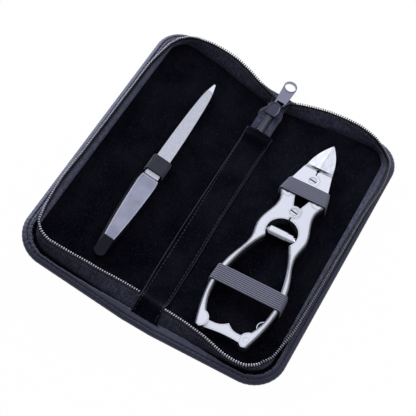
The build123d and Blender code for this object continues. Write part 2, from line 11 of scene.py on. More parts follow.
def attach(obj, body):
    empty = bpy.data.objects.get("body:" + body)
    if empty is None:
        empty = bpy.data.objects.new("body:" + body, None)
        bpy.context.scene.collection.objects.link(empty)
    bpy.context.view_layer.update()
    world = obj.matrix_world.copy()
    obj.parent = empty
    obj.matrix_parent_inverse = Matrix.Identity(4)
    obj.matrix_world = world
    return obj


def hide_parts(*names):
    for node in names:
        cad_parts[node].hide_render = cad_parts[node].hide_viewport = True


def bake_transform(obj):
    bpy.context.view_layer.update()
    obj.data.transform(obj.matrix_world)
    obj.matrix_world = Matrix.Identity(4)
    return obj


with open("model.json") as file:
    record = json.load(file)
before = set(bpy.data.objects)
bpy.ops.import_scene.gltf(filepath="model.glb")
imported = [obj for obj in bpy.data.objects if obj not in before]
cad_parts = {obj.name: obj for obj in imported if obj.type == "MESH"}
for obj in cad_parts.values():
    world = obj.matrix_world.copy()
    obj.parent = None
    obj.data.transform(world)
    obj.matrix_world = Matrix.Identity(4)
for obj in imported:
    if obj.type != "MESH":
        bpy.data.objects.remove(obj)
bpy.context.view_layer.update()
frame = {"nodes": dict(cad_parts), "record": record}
MM = 0.001

# ---- Sizes in millimetres; the case's and the tools' are the CAD part's ----
case_length = 175.0
half_width = 70.0
spine_width = 17.5
corner_radius = 18.5
spine_tilt = 8.0
floor_z = 2.8              # top of the lining
turned_edge = 5.5
tape_inset = 7.4
tape_top = 7.4
tape_thickness = 0.5
tooth_pitch = 1.36
tail_offset = -0.4
tail_y = 142.0
tail_z = 5.2
tail_slope = 4.0
tail_half = 6.7
tail_left = 6.0            # narrower on the left, where the other board comes down on it
slider_start = 12.3
slider_length = 9.8
slider_top = 1.9
nipper_x = 33.5
nipper_y = 101.1
tool_z = 3.0
nipper_thickness = 6.4
blade_y = 33.4             # where the blades begin, from the rear screw
eye_y = 31.4
screw_rim = 0.16           # how far below the head's face the slot's painted shade begins
file_x = 28.8
file_thickness = 4.2
blade_thickness = 1.4
abrasive_end = 146.6       # the file's blade is smooth beyond this
band_gap = 0.15
band_thickness = 0.7
fold_zone = 3.0            # each side of a fold, where cloth and leather bend

# ---- Places ----
ROW = Matrix.Translation((-half_width / 2, -case_length / 2, 0))


def turn_y(degrees):
    return Matrix.Rotation(math.radians(degrees), 4, "Y")


tilt = math.radians(spine_tilt)
SPINE = ROW @ turn_y(spine_tilt)
LEFT_FOLD = Matrix.Translation((-spine_width * math.cos(tilt), 0, spine_width * math.sin(tilt)))
MIRROR = Matrix.Diagonal((-1, 1, 1, 1))
RIGHT = ROW
LEFT = ROW @ LEFT_FOLD @ turn_y(2 * spine_tilt) @ MIRROR
TAIL = (
    SPINE
    @ Matrix.Translation((tail_offset - spine_width / 2, tail_y, tail_z))
    @ Matrix.Rotation(math.radians(tail_slope), 4, "X")
)
NIPPER = ROW @ Matrix.Translation((nipper_x, nipper_y, tool_z))
SIDES = {"right": RIGHT, "left": LEFT}
LEFT_UP = (LEFT.to_3x3() @ Vector((0, 0, 1))).normalized()


def step(low, high, value):
    t = min(max((value - low) / (high - low), 0), 1)
    return t * t * (3 - 2 * t)


def bent(x, y, z):
    """A point of the unrolled case: the spine's part, at x < 0, rises from the fold."""
    share = step(fold_zone, -fold_zone, x)
    angle = tilt * share
    return Vector((x * math.cos(angle) + z * math.sin(angle), y, z * math.cos(angle) - x * math.sin(angle)))


def ripple(x, y, z, seed=0.0):
    """Smooth noise from -1 to 1."""
    return noise.noise(Vector((x, y, z + 31.7 * seed)))


# ---- Mesh building ----
def piece(name, points, faces, material, place=None, uv=None, sharp=None):
    """A mesh from points in millimetres; uv is a list of one pair for each point."""
    place = place or Matrix.Identity(4)
    if place.determinant() < 0:
        faces = [tuple(reversed(f)) for f in faces]
    mesh = bpy.data.meshes.new(name)
    mesh.from_pydata([(place @ Vector(p)) * MM for p in points], [], faces)
    mesh.validate()
    mesh.shade_smooth()
    if sharp:
        mesh.set_sharp_from_angle(angle=math.radians(sharp))
    if uv:
        layer = mesh.uv_layers.new(name="UVMap")
        for loop in mesh.loops:
            layer.data[loop.index].uv = uv[loop.vertex_index]
    mesh.materials.append(material)
    obj = bpy.data.objects.new(name, mesh)
    bpy.context.scene.collection.objects.link(obj)
    return obj


class Build:
    """Collects the points and faces of one piece."""

    def __init__(self):
        self.points, self.faces, self.uv = [], [], []

    def add(self, point, uv=(0, 0)):
        self.points.append(tuple(point))
        self.uv.append(uv)
        return len(self.points) - 1

    def row(self, points, uvs=None):
        uvs = uvs or [(0, 0)] * len(points)
        return [self.add(p, u) for p, u in zip(points, uvs)]

    def join(self, first, second, wrap=False):
        """Quads between two rows of points."""
        count = len(first) if wrap else len(first) - 1
        for i in range(count):
            j = (i + 1) % len(first)
            self.faces.append((first[i], first[j], second[j], second[i]))

    def skin(self, rows, wrap=False, close=False):
        for a, b in zip(rows, rows[1:]):
            self.join(a, b, wrap)
        if close:
            self.join(rows[-1], rows[0], wrap)

    def cap(self, row):
        self.faces.append(tuple(row))

    def done(self, name, material, place=None, sharp=None):
        return piece(name, self.points, self.faces, material, place, self.uv, sharp)


def tube(build, centres, radii, sides=6, closed_ends=True, flat=1.0):
    """A tube through points, its radius given at each."""
    rows = []
    up = None
    for i, centre in enumerate(centres):
        before = centres[max(i - 1, 0)]
        after = centres[min(i + 1, len(centres) - 1)]
        along = (Vector(after) - Vector(before)).normalized()
        if up is None:
            up = along.orthogonal().normalized()
        up = (up - along * up.dot(along)).normalized()
        across = along.cross(up)
        ring = []
        for k in range(sides):
            angle = 2 * math.pi * k / sides
            offset = up * math.cos(angle) * radii[i] * flat + across * math.sin(angle) * radii[i]
            ring.append(Vector(centre) + offset)
        rows.append(build.row(ring))
    build.skin(rows, wrap=True)
    if closed_ends:
        build.cap(list(reversed(rows[0])))
        build.cap(rows[-1])


# ---- Materials ----
class Nodes:
    """A node tree, with short names for adding nodes to it."""

    def __init__(self, tree):
        self.tree = tree

    def node(self, kind, inputs=None, **settings):
        made = self.tree.nodes.new(kind)
        for name, value in settings.items():
            setattr(made, name, value)
        for name, value in (inputs or {}).items():
            self.feed(made.inputs[name], value)
        return made

    def feed(self, socket, value):
        if isinstance(value, bpy.types.NodeSocket):
            self.tree.links.new(value, socket)
        else:
            socket.default_value = value

    def place(self, space="Object"):
        return self.node("ShaderNodeTexCoord").outputs[space]

    def axis(self, vector, name):
        """One coordinate of a vector."""
        return self.node("ShaderNodeSeparateXYZ", {"Vector": vector}).outputs[name]

    def dot(self, vector, other):
        made = self.node("ShaderNodeVectorMath", {0: vector, 1: other}, operation="DOT_PRODUCT")
        return made.outputs["Value"]

    def scaled(self, vector, scale):
        made = self.node("ShaderNodeMapping", {"Vector": vector})
        made.inputs["Scale"].default_value = scale
        return made.outputs["Vector"]

    def noise(self, vector, scale, detail=2.0, rough=0.5):
        values = {"Vector": vector, "Scale": scale, "Detail": detail, "Roughness": rough}
        return self.node("ShaderNodeTexNoise", values).outputs["Fac"]

    def cells(self, vector, scale, feature="DISTANCE_TO_EDGE"):
        values = {"Vector": vector, "Scale": scale}
        return self.node("ShaderNodeTexVoronoi", values, feature=feature).outputs["Distance"]

    def wave(self, vector, scale, distortion=0.0, direction="X"):
        values = {"Vector": vector, "Scale": scale, "Distortion": distortion}
        return self.node("ShaderNodeTexWave", values, bands_direction=direction).outputs["Fac"]

    def math(self, operation, a, b=0.0):
        return self.node("ShaderNodeMath", {0: a, 1: b}, operation=operation).outputs[0]

    def ramp(self, value, stops):
        made = self.node("ShaderNodeValToRGB", {"Fac": value})
        elements = made.color_ramp.elements
        while len(elements) < len(stops):
            elements.new(0.5)
        for element, (at, colour) in zip(elements, stops):
            element.position = at
            element.color = colour if len(colour) == 4 else (*colour, 1)
        return made.outputs["Color"]

    def grey(self, value, stops):
        return self.ramp(value, [(at, (level, level, level)) for at, level in stops])

    def edge(self, width):
        """0 away from the solid's edges, rising to about 0.3 at an edge."""
        rounded = self.node("ShaderNodeBevel")
        rounded.inputs["Radius"].default_value = width * MM
        true_normal = self.node("ShaderNodeNewGeometry").outputs["Normal"]
        return self.math("SUBTRACT", 1.0, self.dot(rounded.outputs["Normal"], true_normal))

    def mix(self, share, a, b):
        a, b = (c if isinstance(c, bpy.types.NodeSocket) else (*c, 1) for c in (a, b))
        made = self.node("ShaderNodeMix", {"Factor": share, "A": a, "B": b}, data_type="RGBA")
        return made.outputs["Result"]

    def bump(self, height, distance, strength, normal=None):
        """A bump whose distance is in millimetres, over an earlier one if its normal is given."""
        values = {"Height": height, "Distance": distance * MM, "Strength": strength}
        if normal is not None:
            values["Normal"] = normal
        return self.node("ShaderNodeBump", values).outputs["Normal"]


class Shader(Nodes):
    """A material with one Principled shader."""

    def __init__(self, name):
        self.material = bpy.data.materials.new(name)
        self.material.use_nodes = True
        super().__init__(self.material.node_tree)
        self.bsdf = next(n for n in self.tree.nodes if n.type == "BSDF_PRINCIPLED")

    def set(self, **values):
        for name, value in values.items():
            self.bsdf.inputs[name.replace("_", " ")].default_value = value

    def out(self, **links):
        for name, value in links.items():
            self.feed(self.bsdf.inputs[name.replace("_", " ")], value)
        return self.material


def leather_material():
    s = Shader("leather")
    at = s.place()
    grain = s.cells(at, 1400)
    fine = s.noise(at, 2600, 3, 0.6)
    broad = s.noise(at, 42, 3, 0.55)
    pores = s.grey(grain, [(0.0, 0.0), (0.12, 1.0)])
    colour = s.mix(broad, (0.009, 0.0095, 0.018), (0.030, 0.031, 0.053))
    colour = s.mix(s.math("MULTIPLY", pores, 0.75), (0.006, 0.006, 0.011), colour)
    rough = s.math("ADD", 0.36, s.math("MULTIPLY", s.noise(at, 300, 2), 0.22))
    bumps = s.bump(pores, 0.06, 0.6)
    bumps = s.bump(fine, 0.06, 0.6, bumps)
    bumps = s.bump(s.noise(at, 420, 3, 0.6), 0.30, 0.6, bumps)
    bumps = s.bump(broad, 0.5, 0.35, bumps)
    s.set(Specular_IOR_Level=0.85, Specular_Tint=(0.70, 0.73, 1.0, 1))
    s.set(Sheen_Weight=0.16, Sheen_Roughness=0.5, Sheen_Tint=(0.70, 0.72, 1.0, 1))
    return s.out(Base_Color=colour, Roughness=rough, Normal=bumps)


def velvet_material(name, dark, light, edge_highlight=False):
    """Mottled pile with specks of lint; with a painted edge highlight, the edge is paler near U = 0."""
    s = Shader(name)
    at = s.place()
    nap = s.grey(s.noise(at, 60, 4, 0.6), [(0.34, 0.0), (0.66, 1.0)])
    pile = s.noise(at, 3200, 2, 0.6)
    lint = s.noise(at, 2300, 1, 0.4)
    specks = s.grey(lint, [(0.66, 0.0), (0.74, 1.0)])
    colour = s.mix(nap, dark, light)
    colour = s.mix(s.math("MULTIPLY", specks, 0.6), colour, (0.06, 0.055, 0.065))
    bumps = s.bump(pile, 0.22, 0.8)
    bumps = s.bump(nap, 0.5, 0.35, bumps)
    s.set(Roughness=0.95, Specular_IOR_Level=0.05, Specular_Tint=(0.5, 0.55, 1.0, 1))
    s.set(Sheen_Weight=0.08, Sheen_Roughness=0.4, Sheen_Tint=(0.45, 0.5, 1.0, 1))
    # Painted highlight: the folded edge is coloured paler near U = 0.
    if edge_highlight:
        edge = s.grey(s.axis(s.place("UV"), "X"), [(0.0, 1.0), (0.28, 1.0), (0.48, 0.0)])
        colour = s.mix(edge, colour, (0.055, 0.056, 0.080))
    return s.out(Base_Color=colour, Normal=bumps)


def twill_material(name, low, high):
    """Diagonal ribs about 0.5 mm apart, from UVs in millimetres; V is 0 at the edge with the teeth."""
    s = Shader(name)
    at = s.place("UV")
    diagonal = s.node("ShaderNodeMapping", {"Vector": at})
    diagonal.inputs["Rotation"].default_value = (0, 0, math.radians(38))
    ribs = s.wave(diagonal.outputs["Vector"], 0.62, 0.6)
    across = s.wave(at, 0.9, 0.4, "Y")
    yarn = s.grey(s.noise(s.place(), 1500, 3, 0.7), [(0.36, 0.0), (0.64, 1.0)])
    tone = s.noise(s.place(), 90, 3, 0.5)
    weave = s.math("MULTIPLY", ribs, s.math("ADD", 0.55, s.math("MULTIPLY", across, 0.45)))
    weave = s.math("MULTIPLY", weave, s.math("ADD", 0.25, s.math("MULTIPLY", yarn, 1.4)))
    colour = s.mix(weave, low, high)
    colour = s.mix(s.math("MULTIPLY", tone, 0.3), colour, low)
    streaks = s.noise(s.scaled(at, (0.85, 0.30, 1.0)), 1.0, 3, 0.65)
    colour = s.mix(s.grey(streaks, [(0.36, 0.60), (0.52, 0.15), (0.66, 0.0)]), colour, low)
    blotches = s.noise(s.place(), 260, 3, 0.6)
    colour = s.mix(s.grey(blotches, [(0.40, 0.30), (0.58, 0.0)]), colour, low)
    # Painted shade: faces turned toward the near end, -y, are darkened toward the low tone.
    front_facing_shade = s.math("ADD", 0.5, s.math("MULTIPLY", s.axis(s.place("Normal"), "Y"), -0.5))
    colour = s.mix(s.grey(front_facing_shade, [(0.62, 0.0), (0.90, 0.55)]), colour, low)
    # Painted light: faces turned to the right are lightened in flecks near the top of the wall.
    toward_right = s.grey(s.axis(s.place("Normal"), "X"), [(0.55, 0.0), (0.85, 1.0)])
    pale_tone = s.math("MULTIPLY", toward_right, s.math("MULTIPLY", yarn, 0.5))
    edge = s.axis(at, "Y")
    near_top = s.grey(s.math("MULTIPLY", edge, 0.1), [(0.07, 0.0), (0.12, 1.0), (0.40, 1.0), (0.62, 0.0)])
    colour = s.mix(s.math("MULTIPLY", pale_tone, near_top), colour, high)
    # Painted shade under the teeth: the tape is nearly black within 0.75 mm of its edge.
    colour = s.mix(s.grey(edge, [(0.0, 1.0), (0.45, 1.0), (0.75, 0.0)]), colour, (0.0015, 0.0015, 0.003))
    bumps = s.bump(weave, 0.16, 0.9)
    bumps = s.bump(streaks, 0.25, 0.5, bumps)
    s.set(Roughness=0.85, Specular_IOR_Level=0.10, Sheen_Weight=0.04, Sheen_Roughness=0.5)
    return s.out(Base_Color=colour, Normal=bumps)


def elastic_material(name, groove, face):
    """Cross weave on ribs that are in the mesh; V of the UVs counts the ribs."""
    s = Shader(name)
    at = s.place("UV")
    rib = s.wave(at, 2 * math.pi / 20, 0.0, "Y")
    thread = s.wave(at, 1.1, 0.5, "X")
    yarn = s.noise(s.place(), 2800, 2, 0.6)
    shade = s.math("ADD", s.math("MULTIPLY", thread, 0.25), s.math("MULTIPLY", yarn, 0.75))
    colour = s.mix(shade, tuple(c * 0.6 for c in face), tuple(c * 1.25 for c in face))
    # Painted shade: the grooves between the ribs take the much darker groove colour.
    colour = s.mix(s.grey(rib, [(0.10, 0.0), (0.62, 1.0)]), groove, colour)
    bumps = s.bump(thread, 0.08, 0.7)
    bumps = s.bump(yarn, 0.08, 0.5, bumps)
    s.set(Roughness=0.72, Specular_IOR_Level=0.3, Sheen_Weight=0.3, Sheen_Roughness=0.4)
    return s.out(Base_Color=colour, Normal=bumps)


def steel_material(name, tone, rough, brush=0.03, spot=0.0, line=0.0):
    s = Shader(name)
    at = s.place()
    lines = s.noise(s.scaled(at, (1.0, 0.045, 1.0)), 5200, 3, 0.7)
    cloud = s.noise(at, 75, 3, 0.5)
    colour = s.mix(cloud, tone, tuple(min(1.0, c * 0.93) for c in tone))
    if line:
        # Painted shade: with line, a dark band is painted along the solid's edges.
        band = s.grey(s.edge(line), [(0.003, 0.0), (0.010, 0.85), (0.09, 0.85), (0.13, 0.0)])
        colour = s.mix(band, colour, tuple(c * 0.22 for c in tone))
    roughness = s.math("ADD", rough, s.math("MULTIPLY", cloud, 0.08))
    bumps = s.bump(lines, brush, 0.5)
    if spot:
        bumps = s.bump(s.noise(at, 900, 2), spot, 0.4, bumps)
    s.set(Metallic=1.0)
    return s.out(Base_Color=colour, Roughness=roughness, Normal=bumps)


def blade_material():
    """The jaws: satin below the hollow, ground with strokes toward the tip above it."""
    s = Shader("blade_steel")
    at = s.place()
    ground = s.math("GREATER_THAN", s.axis(at, "Y"), (nipper_y + blade_y - case_length / 2) * MM)
    strokes = s.noise(s.scaled(at, (1.0, 0.10, 1.0)), 900, 4, 0.65)
    fine = s.noise(s.scaled(at, (0.06, 1.0, 1.0)), 4200, 3, 0.7)
    worn_tones = [(0.30, (0.66, 0.67, 0.72)), (0.50, (0.86, 0.87, 0.91)), (0.62, (0.96, 0.96, 0.99))]
    pale_tone = s.ramp(strokes, worn_tones)
    satin = s.mix(fine, (0.76, 0.77, 0.82), (0.86, 0.87, 0.91))
    bumps = s.bump(s.math("MULTIPLY", strokes, ground), 0.03, 0.5)
    bumps = s.bump(fine, 0.015, 0.5, bumps)
    s.set(Metallic=1.0)
    rough = s.math("ADD", 0.27, s.math("MULTIPLY", strokes, 0.1))
    return s.out(Base_Color=s.mix(ground, satin, pale_tone), Roughness=rough, Normal=bumps)


def screw_material():
    """Steel with painted shade in its slot and round its rim, below the head's face."""
    s = Shader("screw_steel")
    at = s.place()
    slot_shade = s.math("LESS_THAN", s.axis(at, "Z"), (tool_z + nipper_thickness - screw_rim) * MM)
    cloud = s.noise(at, 400, 3, 0.5)
    steel = s.mix(cloud, (0.62, 0.63, 0.68), (0.86, 0.87, 0.92))
    s.set(Metallic=1.0)
    rough = s.math("ADD", 0.22, s.math("MULTIPLY", cloud, 0.15))
    # Painted shade in the slot and round the rim.
    colour = s.mix(slot_shade, steel, (0.015, 0.015, 0.022))
    return s.out(Base_Color=colour, Roughness=rough, Normal=s.bump(cloud, 0.02, 0.4))


def sparkle_material():
    """The file's blade: a sparkly abrasive face, with smooth bevels, tip and shank."""
    s = Shader("file_steel")
    at = s.place()
    flat = s.grey(s.dot(s.place("Normal"), LEFT_UP), [(0.985, 0.0), (0.995, 1.0)])
    abrasive = s.math("LESS_THAN", s.axis(at, "Y"), (abrasive_end - case_length / 2) * MM)
    mask = s.math("MULTIPLY", flat, abrasive)
    grit = s.cells(at, 3400, "F1")
    glint = s.noise(at, 4200, 1, 0.5)
    grit_tones = [(0.3, (0.42, 0.43, 0.48)), (0.62, (0.70, 0.71, 0.77)), (0.74, (1.0, 1.0, 1.0))]
    colour = s.mix(mask, (0.90, 0.91, 0.96), s.ramp(glint, grit_tones))
    rough = s.math("ADD", 0.16, s.math("MULTIPLY", mask, 0.24))
    bumps = s.bump(s.math("MULTIPLY", grit, mask), 0.14, 0.6)
    s.set(Metallic=1.0)
    return s.out(Base_Color=colour, Roughness=rough, Normal=bumps)


def handle_material():
    """The file's handle: glossy dark plastic; its upper face is painted a satin grey as a painted reflection,
    with painted shade and a painted highlight along that face's edges.
    """
    s = Shader("file_plastic")
    at = s.place()
    flat = s.grey(s.dot(s.place("Normal"), LEFT_UP), [(0.9965, 0.0), (0.9985, 1.0)])
    cloud = s.noise(at, 55, 4, 0.6)
    fine = s.noise(at, 3000, 2, 0.6)
    # Painted reflection: the upper face is coloured a mottled lavender grey, the light it would reflect.
    satin = s.mix(s.grey(cloud, [(0.30, 0.0), (0.68, 1.0)]), (0.27, 0.28, 0.37), (0.50, 0.515, 0.63))
    colour = s.mix(flat, (0.003, 0.003, 0.007), satin)
    near = s.edge(1.5)
    # Painted shade: a dark band a little way in from the edges.
    inset = s.grey(near, [(0.0006, 0.0), (0.0016, 0.9), (0.0040, 0.9), (0.0060, 0.0)])
    colour = s.mix(inset, colour, (0.012, 0.012, 0.02))
    # Painted highlight: a pale line along the upper face's edges.
    facet_edge_highlight = s.math("MULTIPLY", flat, s.grey(near, [(0.0050, 0.0), (0.0080, 1.0)]))
    colour = s.mix(facet_edge_highlight, colour, (0.75, 0.76, 0.88))
    rough = s.math("ADD", 0.16, s.math("MULTIPLY", flat, 0.25))
    bumps = s.bump(fine, 0.02, 0.4)
    s.set(Specular_IOR_Level=0.20, Specular_Tint=(0.8, 0.83, 1.0, 1))
    return s.out(Base_Color=colour, Roughness=rough, Normal=bumps)


def thread_material(name, tone):
    s = Shader(name)
    at = s.place()
    twist = s.noise(at, 3600, 2, 0.6)
    dark = tuple(c * 0.45 for c in tone)
    s.set(Roughness=0.7, Specular_IOR_Level=0.3, Sheen_Weight=0.3)
    return s.out(Base_Color=s.mix(twist, dark, tone), Normal=s.bump(twist, 0.06, 0.6))


def tooth_material(name, tone):
    """Moulded teeth, their tone mottled; paler copies of this material paint highlights on the tips."""
    s = Shader(name)
    at = s.place()
    rub = s.noise(at, 1500, 2, 0.6)
    dark = tuple(c * 0.6 for c in tone)
    s.set(Specular_IOR_Level=0.6, Specular_Tint=(0.9, 0.92, 1.0, 1))
    rough = s.math("ADD", 0.22, s.math("MULTIPLY", rub, 0.2))
    return s.out(Base_Color=s.mix(rub, dark, tone), Roughness=rough, Normal=s.bump(rub, 0.03, 0.4))


def board_material():
    s = Shader("board")
    fibre = s.noise(s.place(), 1400, 4, 0.7)
    s.set(Roughness=0.9)
    colour = s.mix(fibre, (0.10, 0.085, 0.07), (0.22, 0.19, 0.16))
    return s.out(Base_Color=colour, Normal=s.bump(fibre, 0.05, 0.6))


M = {
    "leather": leather_material(),
    "board": board_material(),
    "velvet": velvet_material("velvet", (0.0008, 0.0009, 0.0026), (0.0052, 0.0050, 0.0078)),
    "strip": velvet_material("strip", (0.0012, 0.0013, 0.0028), (0.0058, 0.0060, 0.0100), edge_highlight=True),
    "zip_tape": twill_material("zip_tape", (0.008, 0.0085, 0.017), (0.30, 0.306, 0.45)),
    "zip_teeth": tooth_material("zip_teeth", (0.018, 0.0185, 0.030)),
    # Paler copies of the teeth's material, for painted highlights on their tips.
    "tooth_tip_highlight": tooth_material("tooth_tip_highlight", (0.80, 0.80, 0.90)),
    "tooth_dim_highlight": tooth_material("tooth_dim_highlight", (0.38, 0.385, 0.46)),
    "chain": steel_material("chain", (0.30, 0.30, 0.38), 0.34, 0.02),
    "elastic": elastic_material("elastic", (0.030, 0.030, 0.044), (0.270, 0.275, 0.360)),
    "elastic_dark": elastic_material("elastic_dark", (0.006, 0.006, 0.010), (0.066, 0.067, 0.095)),
    "slider_metal": steel_material("slider_metal", (0.072, 0.072, 0.10), 0.32, 0.02, 0.12),
    "pull_metal": steel_material("pull_metal", (0.27, 0.275, 0.36), 0.30, 0.03),
    "nipper_steel": steel_material("nipper_steel", (0.80, 0.81, 0.86), 0.26, 0.02, line=1.3),
    "polished_steel": steel_material("polished_steel", (0.86, 0.87, 0.92), 0.09, 0.008),
    "spring_steel": steel_material("spring_steel", (0.78, 0.79, 0.84), 0.16, 0.015),
    "file_steel": sparkle_material(),
    "file_plastic": handle_material(),
    "screw": screw_material(),
    "blade_steel": blade_material(),
    # Painted shade for the eye's walls and the step under the blades.
    "recess": thread_material("recess", (0.020, 0.020, 0.028)),
    "thread": thread_material("thread", (0.10, 0.10, 0.13)),
    "thread_pale": thread_material("thread_pale", (0.34, 0.34, 0.42)),
    # A painted highlight: the bead along the border's inner edge is coloured pale.
    "leather_edge_highlight": thread_material("leather_edge_highlight", (0.30, 0.305, 0.43)),
    "thread_dark": thread_material("thread_dark", (0.022, 0.022, 0.032)),
}

SLOT = {entry["node"]: entry["material_slot"] for entry in frame["record"]["subparts"]}
for name, slot in SLOT.items():
    node = frame["nodes"][name]
    node.data.materials.clear()
    node.data.materials.append(M["screw" if name.endswith("screw") else slot])


def soften(name, width, angle=25):
    """Small rounded edges on a solid, to catch the light."""
    bevel = frame["nodes"][name].modifiers.new("edges", "BEVEL")
    bevel.width = width * MM
    bevel.segments = 2
    bevel.limit_method = "ANGLE"
    bevel.angle_limit = math.radians(angle)
    bevel.harden_normals = True


soften("zip_pull", 0.38)
soften("file_handle", 0.4, 15)


# ---- Round the edge of a half ----
def fold_columns(start, corner, pitch):
    """Places along the straight ends, close together where the case folds."""
    values = [start]
    x = start
    while x < corner - 0.01:
        gap = 0.6 if abs(x + 0.01) < fold_zone + 0.5 else pitch
        x = min(x + gap, corner)
        values.append(x)
    if values[-1] - values[-2] < 0.3:
        values.pop(-2)
    return values


class Ring:
    """Samples round a half's outline: point, inward direction and length from the fold."""

    def __init__(self, start, arc_steps=14, side_steps=60, pitch=2.6):
        straight = half_width - corner_radius
        arc = math.pi / 2 * corner_radius
        self.columns = fold_columns(start, straight, pitch)
        samples = [((x, 0), (0, 1), x) for x in self.columns]
        low = (straight, corner_radius)
        high = (straight, case_length - corner_radius)
        for k in range(1, arc_steps + 1):
            a = math.pi / 2 * k / arc_steps
            out = (math.sin(a), -math.cos(a))
            samples.append(self._on_arc(low, out, straight + corner_radius * a))
        for k in range(1, side_steps + 1):
            y = low[1] + (high[1] - low[1]) * k / side_steps
            samples.append(((half_width, y), (-1, 0), straight + arc + y - low[1]))
        passed = straight + arc + high[1] - low[1]
        for k in range(1, arc_steps + 1):
            a = math.pi / 2 * k / arc_steps
            out = (math.cos(a), math.sin(a))
            samples.append(self._on_arc(high, out, passed + corner_radius * a))
        passed += arc
        for x in reversed(self.columns[:-1]):
            samples.append(((x, case_length), (0, -1), passed + straight - x))
        self.samples = samples
        self.corner_count = len(self.columns) + arc_steps
        self.side_steps = side_steps

    @staticmethod
    def _on_arc(centre, out, length):
        point = (centre[0] + out[0] * corner_radius, centre[1] + out[1] * corner_radius)
        return point, (-out[0], -out[1]), length

    def at(self, index, inset):
        (x, y), (nx, ny), _ = self.samples[index]
        return x + nx * inset, y + ny * inset

    def loop(self, build, profile, place, flat):
        """One row of points round the outline; flat keeps each point's place on the unrolled case."""
        row = []
        for i, (_, _, length) in enumerate(self.samples):
            inset, z = profile(length)
            x, y = self.at(i, inset)
            index = build.add(place @ bent(x, y, z))
            flat[index] = (x, y)
            row.append(index)
        return row

    def sheet(self, build, ring_row, height, place, flat):
        """Fills the region inside a row of the ring with a grid."""
        count = len(ring_row)
        last = self.corner_count - 1
        columns = []
        for i in range(last):
            low, high = ring_row[i], ring_row[count - 1 - i]
            x, y0 = flat[low]
            y1 = flat[high][1]
            column = [low]
            for k in range(1, self.side_steps):
                y = y0 + (y1 - y0) * k / self.side_steps
                column.append(build.add(place @ bent(x, y, height(x, y))))
            column.append(high)
            columns.append(column)
        columns.append(ring_row[last : last + self.side_steps + 1])
        build.skin(columns)


def stations(pairs, width=5.0):
    """A smooth curve of length along the ring from a few pairs of length and value."""
    places = np.array([p for p, _ in pairs], float)
    values = np.array([v for _, v in pairs], float)

    def curve(length):
        offsets = np.linspace(-width, width, 9)
        weights = np.cos(offsets / width * math.pi / 2) + 0.05
        return float((np.interp(length + offsets, places, values) * weights).sum() / weights.sum())

    return curve


straight_end = half_width - corner_radius
arc_length = math.pi / 2 * corner_radius
side_start = straight_end + arc_length
side_end = side_start + case_length - 2 * corner_radius
top_start = side_end + arc_length
ring_length = top_start + straight_end


# ---- Leather covers ----
border_stitch_pitch = 3.0
# The border's width along each half's outline.
BORDER = {
    "right": stations([(0, 7.2), (20, 6.6), (45, 4.2), (66, 5.2), (100, 5.3), (ring_length, 5.6)], 8),
    "left": stations([(0, 7.2), (20, 5.4), (45, 4.2), (66, 5.2), (100, 5.3), (ring_length, 5.6)], 8),
}


def corner_share(length):
    """1 at the middle of a corner's arc, fading along the straight sides."""
    low = (length - straight_end - arc_length / 2) / 19
    high = (length - side_end - arc_length / 2) / 17
    return math.exp(-low * low) + math.exp(-high * high)


def pleat(length, seed):
    """Rounded crests with sharp valleys between them, where leather is gathered."""
    phase = length * math.pi / 2.7 + 2.2 * ripple(length * 0.13, seed, 0)
    return abs(math.sin(phase)) ** 0.7 - 0.6


# Across the turned edge, from under the board round to its top and back: the inset from the outline,
# the height, and the shares in which the seam's pits, the crumples, the border's width and the pleats act.
COVER_SECTION = [
    (3.0, 0.0, 0, 0, 0, 0), (1.1, 0.0, 0, 0, 0, 0), (0.42, 0.14, 0, 0, 0, 0.6), (0.08, 0.5, 0, 0, 0, 1.0),
    (0.0, 1.0, 0, 0, 0, 1.0), (0.08, 1.45, 0, 0, 0, 1.0), (0.34, 1.86, 0, 0.2, 0, 0.9),
    (0.80, 2.26, 0, 0.3, 0, 0.6), (1.30, 2.62, 0, 0.4, 0, 0.3), (1.80, 2.90, 0, 0.4, 0, 0),
    (2.15, 2.92, 0.5, 0.4, 0, 0), (2.38, 2.70, 1.0, 0.3, 0, 0), (2.62, 2.70, 1.0, 0.3, 0, 0),
    (2.85, 3.00, 0.6, 0.4, 0, 0), (3.20, 3.24, 0.3, 0.6, 0, 0), (3.55, 3.32, 0, 0.8, 0.3, 0),
    (4.15, 3.30, 0, 1.0, 0.7, 0), (4.75, 3.24, 0, 1.0, 1.0, 0), (5.15, 3.14, 0, 1.0, 1.0, 0),
    (5.40, 3.00, 0, 0.9, 1.0, 0), (5.5, 2.84, 0, 0.7, 1.0, 0), (5.45, 2.55, 0, 0.3, 1.0, 0),
    (5.0, 2.15, 0, 0, 1.0, 0), (2.0, 2.08, 0, 0, 0, 0), (0.95, 2.0, 0, 0, 0, 0), (0.85, 1.5, 0, 0, 0, 0),
    (0.95, 0.95, 0, 0, 0, 0), (3.0, 0.9, 0, 0, 0, 0),
]


